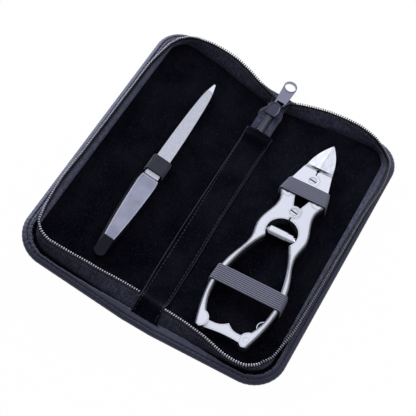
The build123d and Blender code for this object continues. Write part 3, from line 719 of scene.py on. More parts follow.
def cover(side):
    """The leather of one half: the outside, and the edge turned over the board."""
    place = SIDES[side]
    ring = Ring(-spine_width / 2, 42, 160, 0.9)
    build = Build()
    flat = {}
    seed = 1.0 if side == "right" else 2.0
    border = BORDER[side]

    def profile(inset, z, groove, inner, follow, roll):
        def at(length):
            corner = corner_share(length)
            fold = pleat(length, seed)
            wander = (0.30 + 0.75 * corner) * ripple(length * 0.2, seed, 9)
            edge = border(abs(length)) + wander + 0.45 * corner * fold
            s = inset + follow * (edge - turned_edge) - roll * (0.05 + 0.16 * corner) * fold
            crumple = ripple(length * 0.85, inset * 0.8, seed)
            lift = inner * ((0.12 + 0.62 * corner) * fold + (0.12 + 0.55 * corner) * crumple)
            pits = 0.30 * groove * max(0.0, math.cos(length * 2 * math.pi / border_stitch_pitch)) ** 2
            return s, z + lift - pits
        return at

    rows = [ring.loop(build, profile(*section), place, flat) for section in COVER_SECTION]
    build.skin(rows)
    ring.sheet(build, rows[0], lambda x, y: 0.0, place, flat)
    ring.sheet(build, rows[-1], lambda x, y: COVER_SECTION[-1][1], place, flat)
    obj = build.done(f"{side}_leather", M["leather"])
    fix_normals(obj, close_ends=True)
    return obj


def fix_normals(obj, close_ends=False):
    """Turns the faces outward, once the open ends are closed."""
    bm = bmesh.new()
    bm.from_mesh(obj.data)
    if close_ends:
        border = [e for e in bm.edges if e.is_boundary]
        for edge in border:
            edge.smooth = False
        bmesh.ops.holes_fill(bm, edges=border, sides=0)
    bmesh.ops.recalc_face_normals(bm, faces=bm.faces)
    bm.to_mesh(obj.data)
    bm.free()


def bend_with(obj, side):
    """Bakes the piece's place into its mesh."""
    place = SIDES[side]
    end = (place @ bent(-fold_zone, case_length / 2, 0)) * MM
    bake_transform(obj)


# ---- Velvet linings ----
def lining(side):
    """The velvet of one half, tucked under the leather's turned edge."""
    place = SIDES[side]
    ring = Ring(-1.6 if side == "right" else -3.2)
    build = Build()
    flat = {}
    seed = 4.0 if side == "right" else 5.0

    def height(x, y):
        soft = 0.16 * ripple(x * 0.045, y * 0.03, seed) + 0.05 * ripple(x * 0.2, y * 0.2, seed)
        edge = min(1.0, max(0.0, min(half_width - x, y, case_length - y) - turned_edge) / 5)
        return floor_z + soft * edge

    section = [
        (7.4, floor_z - 0.02), (6.5, floor_z - 0.12), (5.9, floor_z - 0.35),
        (5.3, 2.1), (3.6, 2.06), (3.6, 2.02),
    ]
    rows = [ring.loop(build, lambda length, corner=corner: corner, place, flat) for corner in section]
    build.skin(rows)
    ring.sheet(build, rows[0], height, place, flat)
    ring.sheet(build, rows[-1], lambda x, y: section[-1][1], place, flat)
    obj = build.done(f"{side}_velvet", M["velvet"])
    fix_normals(obj, close_ends=True)
    return obj


# ---- Zip tapes and teeth ----
# Length along the half's outline, how far in the tape's top line runs, and its height.
TOP_LINE = {
    "right": [
        (0, 13.6), (14, 12.2), (27, 10.0), (38, 6.9), (47, 5.9), (57, 7.6), (70, 8.8), (86, 6.6),
        (98, 4.9), (140, 4.0), (182, 3.3), (204, 1.9), (213, 2.6), (221, 4.0), (231, 6.0), (242, 5.7),
        (251, 2.2), (259, 0.3), (269, 0.1), (280, 0.8), (289, 2.6), (297, 4.8), (304, 7.6),
    ],
    "left": [
        (0, 15.4), (12, 14.6), (24, 13.2), (41, 11.6), (52, 11.0), (63, 10.3), (72, 8.2), (80, 6.2),
        (88, 4.8), (97, 3.8), (108, 3.1), (130, 3.7), (170, 3.9), (200, 4.1), (213, 5.6), (224, 7.2), (236, 6.6),
        (246, 3.8), (256, 0.9), (266, 0.2), (273, 0.3), (283, 2.4), (291, 5.0), (297, 6.0), (304, 8.0),
    ],
}
FOOT_LINE = [
    (0, 6.4), (45, 6.2), (62, 7.4), (90, tape_inset), (230, 7.9), (250, 6.9), (268, 7.2), (281, 8.9),
    (300, 10.6),
]
wall_steps = 8             # points up a tape's wall


def wall_point(side, length, index, ring, share):
    """A point of a tape's middle surface; share 0 is its foot and 1 its top edge."""
    top = WALL_TOP[side](length)
    foot = WALL_FOOT(length)
    z0 = floor_z - 0.35
    zt = tape_top + WALL_RISE(length)
    if side == "left":
        zt -= 0.9 * step(34.0, 20.0, length)
    seed = 7.0 if side == "right" else 8.0
    bow = share ** 1.35
    inset = foot + (top - foot) * bow
    waves = 0.30 * ripple(length * 0.16, seed, 0) + 0.16 * ripple(length * 0.5, seed, 2)
    z = z0 + (zt - z0) * share
    x, y = ring.at(index, inset + math.sin(math.pi * share) * waves)
    return x, y, z


WALL_TOP = {side: stations(line, 4.0) for side, line in TOP_LINE.items()}
WALL_FOOT = stations(FOOT_LINE, 5.0)
WALL_RISE = stations([(0, 0), (245, 0.0), (262, 0.45), (280, 0.3), (300, 0.0)], 5.0)


def tape_path(side):
    """The tape's cross rows from the bottom end round to the slider, as lists of points."""
    place = SIDES[side]
    ring = Ring(-4.2 if side == "left" else -1.6, 16, 92)
    rows = []
    lengths = []
    for i, (_, _, length) in enumerate(ring.samples):
        row = []
        x, y = ring.at(i, WALL_FOOT(length) + 4.2)
        row.append(place @ bent(x, y, floor_z - 0.62))
        x, y = ring.at(i, WALL_FOOT(length) + 1.0)
        row.append(place @ bent(x, y, floor_z - 0.55))
        for k in range(wall_steps + 1):
            x, y, z = wall_point(side, length, i, ring, k / wall_steps)
            row.append(place @ bent(x, y, z))
        rows.append(row)
        lengths.append(length)
    return rows, lengths


def lead_rows(side, before, last):
    """Cross rows that carry on from the wall's last two, into the slider's rear corner and its mouth."""
    sign = 1 if side == "right" else -1
    slider_end = slider_start + slider_length
    top0, foot0 = last[-1], last[2]
    corner = TAIL @ Vector((sign * 3.7, slider_end - 0.5, 0.15))
    corner_in = TAIL @ Vector((5.6 if side == "right" else -4.5, slider_end + 1.9, 0.4))
    mouth = TAIL @ Vector((sign * 1.2, slider_end - 4.4, 0.1))
    mouth_in = TAIL @ Vector((sign * 1.9, slider_end - 2.9, 0.1))
    edge = TAIL @ Vector((sign * tail_half, slider_start - 2.0, -0.2))
    edge_in = TAIL @ Vector((sign * (tail_half + 0.9), slider_start + 7.0, -1.4))
    tangent_top = (last[-1] - before[-1]).normalized()
    tangent_foot = (last[2] - before[2]).normalized()
    rows = []
    outside, inside = 12, 8
    for k in range(1, outside + inside + 1):
        t = k / (outside + inside)
        if k <= outside:
            top = bezier(top0, top0 + tangent_top * 2.0, corner_in, corner, k / outside)
        else:
            u = (k - outside) / inside
            top = bezier(corner, corner * 2 - corner_in.lerp(corner, 0.45), mouth_in, mouth, u)
        low = bezier(foot0, foot0 + tangent_foot * 5, edge_in, edge, t)
        row = []
        for j in range(wall_steps + 1):
            share = j / wall_steps
            point = low.lerp(top, share)
            sag = math.sin(math.pi * share) * math.sin(math.pi * t) * 0.5
            row.append(point - Vector((0, 0, sag)))
        tuck = (low - top).normalized()
        rows.append([low + tuck * 1.6 * (1 - t), low + tuck * 0.8 * (1 - t)] + row)
    return rows


def bezier(a, b, c, d, t):
    u = 1 - t
    return a * u ** 3 + b * 3 * u * u * t + c * 3 * u * t * t + d * t ** 3


def thicken(obj, thickness, offset=0.0):
    """Gives an open sheet its cloth's thickness."""
    solid = obj.modifiers.new("cloth", "SOLIDIFY")
    solid.thickness = thickness * MM
    solid.offset = offset


def tape(side):
    """The tape, its cross rows and each row's length along the outline."""
    rows, lengths = tape_path(side)
    extra = lead_rows(side, rows[-2], rows[-1])
    rows += extra
    last = lengths[-1]
    lengths += [last + 0.8 * (k + 1) for k in range(len(extra))]
    build = Build()
    skin = []
    for row, length in zip(rows, lengths):
        to_edge = sum((b - a).length for a, b in zip(row, row[1:]))
        uvs = []
        for a, b in zip([row[0]] + row, row):
            to_edge -= (b - a).length
            uvs.append((length, max(0.0, to_edge)))
        skin.append(build.row(row, uvs))
    build.skin(skin)
    obj = build.done(f"{side}_tape", M["zip_tape"])
    thicken(obj, tape_thickness)
    return obj, rows, lengths


def resample(points, pitch):
    """Places at an even pitch along a line of points."""
    lengths = [0.0]
    for a, b in zip(points, points[1:]):
        lengths.append(lengths[-1] + (b - a).length)
    places = []
    s = pitch / 2
    while s < lengths[-1] - pitch / 4:
        i = int(np.searchsorted(lengths, s)) - 1
        i = min(max(i, 0), len(points) - 2)
        t = (s - lengths[i]) / max(lengths[i + 1] - lengths[i], 1e-9)
        places.append((i, t))
        s += pitch
    return places


# Across the tape, up from its edge, and radius, up one leg of a tooth; the other leg mirrors it.
LEG = [
    (-0.44, -1.15, 0.12), (-0.56, -0.60, 0.20), (-0.62, 0.00, 0.25), (-0.60, 0.46, 0.28), (-0.42, 0.84, 0.34),
]
ARCH = LEG + [(0.0, 1.00, 0.38)] + [(-a, b, radius) for a, b, radius in reversed(LEG)]
TOOTH_SIDES = 6
TIP_SEGMENTS = (3, 4, 5, 6)
SIDE_TIP_SEGMENTS = (4, 5)   # along the long sides less of each tooth gets the painted highlight
FIRST_TOOTH = {"right": 0.3, "left": -2.6}


def sew(build, at, along, out, up):
    """The four short stitches under a tooth, two on each face of the tape."""
    for sign in (-1, 1):
        for down in (1.30, 1.95):
            middle = at + out * sign * 0.32 - up * down
            raised = out * sign * 0.1
            points = [
                middle - along * 0.5, middle - along * 0.25 + raised,
                middle + along * 0.25 + raised, middle + along * 0.5,
            ]
            tube(build, points, [0.10, 0.17, 0.17, 0.10], 5)


def rub(obj, side, tooth_count):
    """Paints highlights on the teeth's tips with the paler materials, up to the head end, where the teeth keep
    their own dark tone.
    """
    obj.data.materials.append(M["tooth_tip_highlight"])
    obj.data.materials.append(M["tooth_dim_highlight"])
    per_tooth = (len(ARCH) - 1) * TOOTH_SIDES + 2
    dark_from = (top_start - 12 - FIRST_TOOTH[side]) / tooth_pitch
    side_from = (straight_end + 8 - FIRST_TOOTH[side]) / tooth_pitch
    for i, polygon in enumerate(obj.data.polygons):
        tooth = i // per_tooth
        tips = TIP_SEGMENTS if tooth < side_from else SIDE_TIP_SEGMENTS
        if tooth < min(tooth_count, dark_from) and (i % per_tooth) // TOOTH_SIDES in tips:
            # The painted highlight is paler on the left run and at the bottom end than along the right run's
            # side.
            polygon.material_index = 1 if side == "left" or tooth < side_from else 2


def teeth(side, rows, lengths):
    """Teeth astride the tape's top edge, a cord through them, and the stitches under them."""
    first = 0
    while FIRST_TOOTH[side] > lengths[first]:
        first += 1
    top = [row[-1] for row in rows[first:]]
    under = [row[-3] for row in rows[first:]]
    build = Build()
    sewing = Build()
    places = resample(top, tooth_pitch)
    for i, t in places:
        at = top[i].lerp(top[i + 1], t)
        below = under[i].lerp(under[i + 1], t)
        along = (top[i + 1] - top[i]).normalized()
        up = (at - below).normalized()
        out = along.cross(up).normalized()
        up = out.cross(along)
        points = [at + out * a + up * b for a, b, _ in ARCH]
        tube(build, points, [r for _, _, r in ARCH], TOOTH_SIDES)
        sew(sewing, at, along, out, up)
    core = [a + (a - below).normalized() * -0.05 for a, below in zip(top, under)]
    tube(build, core, [0.36] * len(core), TOOTH_SIDES)
    obj = build.done(f"{side}_teeth", M["zip_teeth"])
    rub(obj, side, len(places))
    return obj, sewing.done(f"{side}_zip_sewing", M["thread"])


made = {}
for side in ("right", "left"):
    cover_piece = cover(side)
    bend_with(cover_piece, side)
    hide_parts(f"{side}_cover")
    lining_piece = lining(side)
    bend_with(lining_piece, side)
    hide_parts(f"{side}_lining")
    tape_piece, rows, lengths = tape(side)
    tooth_piece, sewing_piece = teeth(side, rows, lengths)
    for obj in (tape_piece, tooth_piece, sewing_piece):
        bend_with(obj, side)
    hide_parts(f"{side}_zip_tape")
    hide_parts(f"{side}_zip_teeth")
    made[side] = (cover_piece, lining_piece, tape_piece, tooth_piece, sewing_piece)
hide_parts("spine_cover")

# ---- Spine strip ----
strip_end = tail_y - 0.1
strip_start = turned_edge + 0.1
seam_right = -2.6          # between the middle piece and the flaps, from the right fold
seam_left = -14.2
strip_stitch_pitch = 2.4


def line(*pairs):
    """A smooth value along y from a few pairs of y and value."""
    places, values = zip(*pairs)

    def curve(y):
        offsets = np.linspace(-4, 4, 7)
        return float(np.interp(y + offsets, places, values).mean())

    return curve


right_edge = line(
    (4, 2.3), (7, 2.0), (13, 0.2), (20, 0.5), (46, 0.6), (60, 0.1), (75, -0.5), (127, -0.5), (144, -0.1),
)
left_edge = line((4, -14.8), (14, -14.8), (19, -15.3), (34, -16.2), (62, -16.8), (144, -17.0))
right_stitch = line((6, -0.6), (20, -1.0), (44, -1.1), (62, -1.6), (80, -1.9), (144, -1.9))
left_stitch = line((6, -13.2), (20, -13.8), (64, -14.4), (127, -16.1), (144, -16.1))


def strip_height(x, y):
    """The strip's top; x goes from 0 at the right fold to -spine_width at the left one."""
    edge = min(right_edge(y) - x, x - left_edge(y))
    sewn = min(abs(x - right_stitch(y)), abs(x - left_stitch(y)))
    body = 0.42 + 0.22 * ripple(x * 0.09, y * 0.05, 11) + 0.10 * ripple(x * 0.3, y * 0.22, 12)
    pulled = 0.75 + 0.25 * math.cos(2 * math.pi * y / strip_stitch_pitch)
    groove = 0.32 * math.exp(-((sewn / 0.45) ** 2)) * pulled
    flap = 0.42 * math.exp(-(((edge - 0.6) / 0.65) ** 2)) * (1 + 0.35 * ripple(y * 0.2, x, 13))
    hem = step(strip_end - 10.0, strip_end - 3.5, y)
    across = (x + spine_width / 2) / (spine_width / 2)
    arch = math.sqrt(max(0.0, 1 - across ** 2))
    rise = hem * 2.9 * min(1.0, arch * 1.25)
    ridge = 0.22 * math.exp(-((y - strip_end + 1.2) ** 2))
    ridge -= 0.12 * math.exp(-(((y - strip_end + 3.2) / 0.6) ** 2))
    over_tape = 4.9 * math.exp(-(((y - 14) / (3.4 if y > 14 else 5.2)) ** 2))
    over_tape *= 0.72 + 0.28 * min(1.0, across ** 2)
    return floor_z + body - groove + flap + rise + ridge * hem + over_tape


def strip_ys():
    """Places along the strip, closer together at its two raised ends."""
    near = np.linspace(strip_start, 26, 32)
    middle = np.linspace(27, strip_end - 12, 124)
    hem = np.linspace(strip_end - 11.5, strip_end, 26)
    return [*near, *middle, *hem]


def strip_piece(name, low, high, count, place_point):
    """A part of the strip between two lines; its end is folded under."""
    build = Build()
    rows = []
    ends = [(strip_end + 0.28, -0.35), (strip_end + 0.2, -0.85), (strip_end - 0.6, -1.1)]
    for y, drop in [(y, 0.0) for y in strip_ys()] + ends:
        row, uvs = [], []
        at = min(y, strip_end)
        for k in range(count + 1):
            x = low(at) + (high(at) - low(at)) * k / count
            row.append(place_point(x, y, strip_height(x, at) + drop))
            uvs.append((min(right_edge(at) - x, x - left_edge(at)), y))
        rows.append(build.row(row, uvs))
    build.skin(rows)
    obj = build.done(name, M["strip"])
    fix_up(obj)
    thicken(obj, 0.5, -1.0)
    return obj


def fix_up(obj):
    """Turns an open sheet's faces upward."""
    if sum(p.normal.z * p.area for p in obj.data.polygons) < 0:
        obj.data.flip_normals()


def on_spine(x, y, z):
    return SPINE @ Vector((x, y, z))


def on_right(x, y, z):
    return RIGHT @ bent(x, y, z)


def on_left(x, y, z):
    return LEFT @ bent(-spine_width - x, y, z)


middle = strip_piece("spine_strip", lambda y: seam_left, lambda y: seam_right, 26, on_spine)
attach(middle, "spine")
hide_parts("spine_lining")
flap_right = strip_piece("strip_edge_right", lambda y: seam_right, right_edge, 12, on_right)
bend_with(flap_right, "right")
flap_left = strip_piece("strip_edge_left", left_edge, lambda y: seam_left, 12, on_left)
bend_with(flap_left, "left")


def stitches(name, places, material, length, radius, lift):
    """Thread stitches: places are (middle, along, up) in the row frame."""
    build = Build()
    for at, along, up in places:
        half = length / 2
        points = [
            at - along * half - up * 0.12,
            at - along * half * 0.7 + up * lift,
            at + along * half * 0.7 + up * lift,
            at + along * half - up * 0.12,
        ]
        tube(build, points, [radius * 0.7, radius, radius, radius * 0.7], 6)
    return build.done(name, material)


def strip_stitch_places(curve, place_point):
    places = []
    y = strip_start + 2
    while y < strip_end - 6:
        near = (y - 0.5, y, y + 0.5)
        before, at, after = (place_point(curve(v), v, strip_height(curve(v), v)) for v in near)
        places.append((at, (after - before).normalized(), Vector((0, 0, 1))))
        y += strip_stitch_pitch
    return places


for side, curve, place_point in (("right", right_stitch, on_right), ("left", left_stitch, on_left)):
    places = strip_stitch_places(curve, place_point)
    sewn = stitches(f"strip_stitches_{side}", places, M["thread"], 1.5, 0.11, 0.08)
    bend_with(sewn, side)


def border_line(side, inset, z, wander=0.0, seed=50.0, lift=0.0):
    """A line of points on the turned edge, and each point's length along the outline."""
    place = SIDES[side]
    ring = Ring(-spine_width / 2 + 0.5, 20, 120)
    points, lengths = [], []
    for i, (_, _, length) in enumerate(ring.samples):
        x, y = ring.at(i, inset(length) + wander * ripple(length * 0.25, seed, 0))
        points.append(place @ bent(x, y, z + 0.12 * wander * ripple(length * 0.4, seed, 4)))
        lengths.append(length)
    points = settle(points, made[side][0], lift)
    return points, lengths


def border_stitch_places(side, inset, z, pitch, wander=0.0, corners_only=False):
    points, lengths = border_line(side, lambda length: inset, z, wander)
    up = (SIDES[side].to_3x3() @ Vector((0, 0, 1))).normalized()
    places = []
    for i, t in resample(points, pitch):
        if near_corner(lengths[i]) or not corners_only:
            along = (points[i + 1] - points[i]).normalized()
            places.append((points[i].lerp(points[i + 1], t), along, up))
    return places


def settle(points, obj, lift):
    """Moves points in millimetres down onto a piece."""
    bvh = BVHTree.FromObject(obj, bpy.context.evaluated_depsgraph_get())
    placed = []
    for point in points:
        hit = bvh.ray_cast(Vector((point.x, point.y, point.z + 3)) * MM, Vector((0, 0, -1)), 0.006)[0]
        placed.append(point if hit is None else hit / MM + Vector((0, 0, lift)))
    return placed


def near_corner(length):
    low = abs(length - straight_end - arc_length / 2)
    high = abs(length - side_end - arc_length / 2)
    return low < 24 or high < 20


border_sewing = {}
for side in ("right", "left"):
    seam = border_stitch_places(side, 2.5, 2.96, border_stitch_pitch)
    sewn = stitches(f"{side}_border_stitches", seam, M["thread_dark"], 2.0, 0.17, 0.06)
    gathers = border_stitch_places(side, 3.9, 3.42, 1.9, wander=0.5, corners_only=True)
    gather = stitches(f"{side}_gather_stitches", gathers, M["thread_pale"], 0.8, 0.10, 0.06)
    # The bead along the border's inner edge; its pale colour is a painted highlight.
    bead = Build()
    points, _ = border_line(side, lambda length: BORDER[side](abs(length)) - 0.75, 3.4, 0.5, 60.0, 0.05)
    radii = [0.17 + 0.07 * ripple(i * 0.7, 61, 0) for i in range(len(points))]
    tube(bead, points, radii)
    edge = bead.done(f"{side}_cut_edge", M["leather_edge_highlight"])
    border_sewing[side] = (sewn, gather, edge)
    for obj in border_sewing[side]:
        bend_with(obj, side)


# ---- The spine's lining beyond the hem ----
def spine_base(side):
    """Half of the cloth under the tail; beyond a fold its points lie on the leaf on its side."""
    build = Build()
    middle_x = -spine_width / 2
    low, high = (middle_x - 0.2, 0.9) if side == "right" else (-spine_width - 0.9, middle_x + 0.2)
    rows = []
    for y in np.linspace(strip_end - 4, case_length - 5.2, 34):
        row = []
        for x in np.linspace(low, high, 20):
            z = floor_z - 0.1 + 0.08 * ripple(x * 0.2, y * 0.2, 70)
            if x > 0:
                row.append(RIGHT @ Vector((x, y, z)))
            elif x < -spine_width:
                row.append(LEFT @ Vector((-spine_width - x, y, z)))
            else:
                row.append(SPINE @ Vector((x, y, z)))
        rows.append(build.row(row))
    build.skin(rows)
    obj = build.done(f"spine_base_{side}", M["velvet"])
    fix_up(obj)
    thicken(obj, 0.4, -1.0)
    bend_with(obj, side)
    return obj


base_cloth = {side: spine_base(side) for side in SIDES}

# ---- Tail tape and chain ----
def tail_tape():
    """The joined tapes from the hem to the slider, their outer edges curling."""
    build = Build()
    rows = []
    for y in np.arange(-3.2, slider_start + slider_length - 1.0, 0.8):
        row, uvs = [], []
        for k in range(25):
            x = -tail_left + (tail_left + tail_half) * k / 24
            share = abs(x) / tail_half
            curl = share ** 3 * (0.55 * math.sin(y * 0.30 + (0.4 if x < 0 else 2.4)) + 0.1)
            taper = step(slider_start - 1.0, slider_start + 7.0, y) * share
            row.append(TAIL @ Vector((x * (1 - 0.35 * taper), y, curl * (1 - taper) - 0.1)))
            uvs.append((y, max(0.0, abs(x) - 1.9)))
        rows.append(build.row(row, uvs))
    build.skin(rows)
    obj = build.done("tail_tape", M["zip_tape"])
    fix_up(obj)
    thicken(obj, tape_thickness)
    return obj


# One coil of the closed chain: across from the middle, along, up, and radius.
COIL = [
    (2.0, -0.30, -0.3, 0.20), (2.05, -0.28, 0.2, 0.24), (1.75, -0.22, 0.55, 0.27), (1.0, -0.08, 0.66, 0.29),
    (0.25, 0.06, 0.62, 0.31), (-0.15, 0.14, 0.35, 0.30), (-0.2, 0.16, -0.2, 0.25),
]


def tail_chain():
    """The closed chain: arched coils from each side that mesh along the middle."""
    build = Build()
    y = -2.8
    while y < slider_start + slider_length - 1.5:
        for side in (-1, 1):
            shift = 0.0 if side < 0 else tooth_pitch / 2
            points = [TAIL @ Vector((side * a, y + shift + b, c)) for a, b, c, _ in COIL]
            tube(build, points, [radius for _, _, _, radius in COIL])
        y += tooth_pitch
    return build.done("tail_chain", M["chain"])


tail = tail_tape()
chain = tail_chain()
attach(tail, "spine")
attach(chain, "spine")
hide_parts("zip_tail_tape")
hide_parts("zip_tail_chain")


# ---- Elastic bands ----
def arch_path(half, flare, top, low, steps=7, radius=1.5):
    """The band's middle line over a tool, its two shoulders rounded."""
    corners = [Vector(c) for c in ((-half - flare, low), (-half, top), (half, top), (half + flare, low))]
    path = [corners[0]]
    for i in (1, 2):
        corner = corners[i]
        a = corners[i - 1] - corner
        b = corners[i + 1] - corner
        reach = min(radius, a.length * 0.45)
        p0 = corner + a.normalized() * reach
        p1 = corner + b.normalized() * reach
        for k in range(steps + 1):
            t = k / steps
            path.append(p0 * (1 - t) ** 2 + corner * 2 * t * (1 - t) + p1 * t * t)
        if i == 1:
            far = corners[2] - b.normalized() * radius
            path += [p1.lerp(far, k / 12) for k in range(1, 12)]
    path.append(corners[3])
    return path


def band(node, body, place, x, ys, halves, top, name):
    """A ribbed elastic over a tool between two places along y, where the tool has two half widths."""
    build = Build()
    ribs = 9
    count = ribs * 8
    mid = band_thickness / 2
    outer, inner = [], []
    for k in range(count + 1):
        v = k / count
        y = ys[0] + (ys[1] - ys[0]) * v
        half = halves[0] + (halves[1] - halves[0]) * v + mid
        path = arch_path(half, 0.3, top + mid, floor_z - 0.3)
        phase = (v * ribs) % 1.0
        rib = abs(math.sin(math.pi * phase)) ** 0.55
        edge_round = min(1.0, min(v, 1 - v) * ribs * 2.2) ** 0.5
        top_row, low_row, uvs, travelled = [], [], [], 0.0
        for i, p in enumerate(path):
            before, after = path[max(i - 1, 0)], path[min(i + 1, len(path) - 1)]
            direction = (after - before).normalized()
            normal = Vector((-direction.y, direction.x))
            travelled += (p - before).length
            wobble = 0.05 * ripple(p.x * 0.35, y * 0.5, 20)
            thick = mid * (0.35 + 0.65 * edge_round)
            raised = p + normal * (thick - 0.20 + 0.30 * rib * edge_round + wobble)
            under = p - normal * thick * 0.9
            top_row.append(place @ Vector((x + raised.x, y, raised.y)))
            low_row.append(place @ Vector((x + under.x, y, under.y)))
            uvs.append((travelled, v * ribs))
        outer.append(build.row(top_row, uvs))
        inner.append(build.row(low_row, uvs))
    build.skin(outer + list(reversed(inner)), close=True)
    for end in (0, -1):
        build.cap([row[end] for row in outer] + [row[end] for row in reversed(inner)])
    slot = SLOT[node]
    obj = build.done(name, M[slot])
    fix_normals(obj)
    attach(obj, body)
    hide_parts(node)
    return obj


nipper_top = tool_z + nipper_thickness + band_gap
file_top = tool_z + (file_thickness + blade_thickness) / 2 + band_gap
upper = band(
    "nipper_band_upper", "right_leaf", RIGHT, nipper_x, (nipper_y + 10.6, nipper_y + 20.3),
    (13.7, 11.7), nipper_top + 0.12, "elastic_upper",
)
lower = band(
    "nipper_band_lower", "right_leaf", RIGHT, nipper_x, (nipper_y - 59.4, nipper_y - 48.9),
    (20.4, 19.9), nipper_top - 0.12, "elastic_lower",
)
loop = band(
    "file_band", "left_leaf", LEFT, file_x, (80.8, 91.5), (4.9, 4.9), file_top, "elastic_file",
)


# ---- Jaws, hollowed below the blades ----
def prism(outline, low, high, axis):
    """A closed prism, its outline in (y, z) along x or in (x, y) along z."""
    build = Build()
    rows = []
    for level in (low, high):
        ring = [(level, u, v) if axis == "x" else (u, v, level) for u, v in outline]
        rows.append(build.row(ring))
    build.skin(rows, wrap=True)
    build.cap(list(reversed(rows[0])))
    build.cap(rows[1])
    obj = build.done("cutter", M["nipper_steel"], NIPPER)
    fix_normals(obj)
    return obj


def carve(name, node_name, material, cutters):
    """A copy of a solid's mesh with some prisms cut from it."""
    node = frame["nodes"][node_name]
    solid = node.data.copy()
    if "custom_normal" in solid.attributes:
        solid.attributes.remove(solid.attributes["custom_normal"])
    obj = bpy.data.objects.new(name, solid)
    bpy.context.scene.collection.objects.link(obj)
    for cutter in cutters:
        cut = obj.modifiers.new("cut", "BOOLEAN")
        cut.operation = "DIFFERENCE"
        cut.solver = "EXACT"
        cut.object = cutter
    bpy.context.view_layer.update()
    cut_mesh = bpy.data.meshes.new_from_object(obj.evaluated_get(bpy.context.evaluated_depsgraph_get()))
    obj.modifiers.clear()
    obj.data = cut_mesh
    cut_mesh.materials.clear()
    cut_mesh.materials.append(M[material])
    cut_mesh.materials.append(M["recess"])
    from_nipper = (Matrix.Scale(MM, 4) @ NIPPER).inverted()
    for polygon in cut_mesh.polygons:
        polygon.use_smooth = abs(polygon.normal.z) < 0.3
        # Painted shade: the eye's walls and the step under the blades get the dark recess material.
        if in_recess(from_nipper @ polygon.center, from_nipper.to_3x3() @ polygon.normal * MM):
            polygon.material_index = 1
    cut_mesh.set_sharp_from_angle(angle=math.radians(25))
    return obj


def in_recess(place, normal):
    """True on the walls of the eye and on the step under the blades, which get painted shade."""
    eye = abs(place.x) + abs(place.y - eye_y) < 2.2 and abs(normal.z) < 0.4
    blade_step = abs(place.y - blade_y) < 0.2 and normal.y < -0.7
    return eye or blade_step


hollow = [(blade_y, 8.0), (blade_y - 0.06, 5.55)]
hollow += [(blade_y - 0.06 - 2.5 * k / 14, 5.55 + 0.9 * (k / 14) ** 1.7) for k in range(1, 15)]
hollow.append((blade_y - 2.56, 8.0))
hollow_cutter = prism(hollow, -12, 12, "x")
eye_cutter = prism([(-1.5, eye_y), (0, eye_y - 1.35), (1.5, eye_y), (0, eye_y + 1.35)], -1, 8, "z")
for side in ("right", "left"):
    jaw = carve(f"jaw_{side}", f"nipper_jaw_{side}", "blade_steel", (hollow_cutter, eye_cutter))
    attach(jaw, f"{side}_jaw")
    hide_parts(f"nipper_jaw_{side}")
cutters = [hollow_cutter, eye_cutter]
for name, body, y, angle in (("front", "right_jaw", 24.0, -8), ("rear", "nipper_pivot", 0.0, -13)):
    along = Vector((math.cos(math.radians(angle)), math.sin(math.radians(angle))))
    across = Vector((-along.y, along.x)) * 0.40
    corners = [Vector((0, y)) + along * a * 3 + across * b for a, b in ((-1, -1), (1, -1), (1, 1), (-1, 1))]
    slot_cutter = prism([tuple(c) for c in corners], nipper_thickness - 0.65, 8, "z")
    cutters.append(slot_cutter)
    screw = carve(f"screw_{name}", f"nipper_{name}_screw", "screw", (slot_cutter,))
    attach(screw, body)
    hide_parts(f"nipper_{name}_screw")
for cutter in cutters:
    bpy.data.objects.remove(cutter)


# ---- Knurled sides of the grips ----
def grip_knurl(side):
    """Crossed ridges laid on the outer side of a handle's grip."""
    sign = 1 if side == "right" else -1
    node = frame["nodes"][f"nipper_handle_{side}"]
    bvh = BVHTree.FromObject(node, bpy.context.evaluated_depsgraph_get())
    build = Build()
    rows = []
    pitch = 1.0
    low_y, high_y = -82.5, -33.2
    low_z, high_z = 0.95, nipper_thickness - 0.95
    for y in np.arange(low_y, -33.0, pitch / 6):
        row = []
        for z in np.linspace(low_z, high_z, 27):
            origin = (NIPPER @ Vector((sign * 40, y, z))) * MM
            hit, normal, _, _ = bvh.ray_cast(origin, Vector((-sign, 0, 0)))
            if hit is None:
                hit, normal = origin, Vector((sign, 0, 0))
            a = abs(math.sin(math.pi * (y + z * 0.75) / pitch))
            b = abs(math.sin(math.pi * (y - z * 0.75) / pitch))
            fade = min(1.0, (z - low_z) / 0.4, (high_z - z) / 0.4, y - low_y, (high_y - y) / 1.5)
            lift = -0.06 + 0.30 * max(0.0, fade) * min(a, b)
            normal = Vector((normal.x, normal.y, 0)).normalized()
            row.append(hit / MM + normal * lift)
        rows.append(build.row(row))
    build.skin(rows)
    obj = build.done(f"grip_knurl_{side}", M["nipper_steel"])
    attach(obj, f"{side}_handle")


for side in ("right", "left"):
    grip_knurl(side)


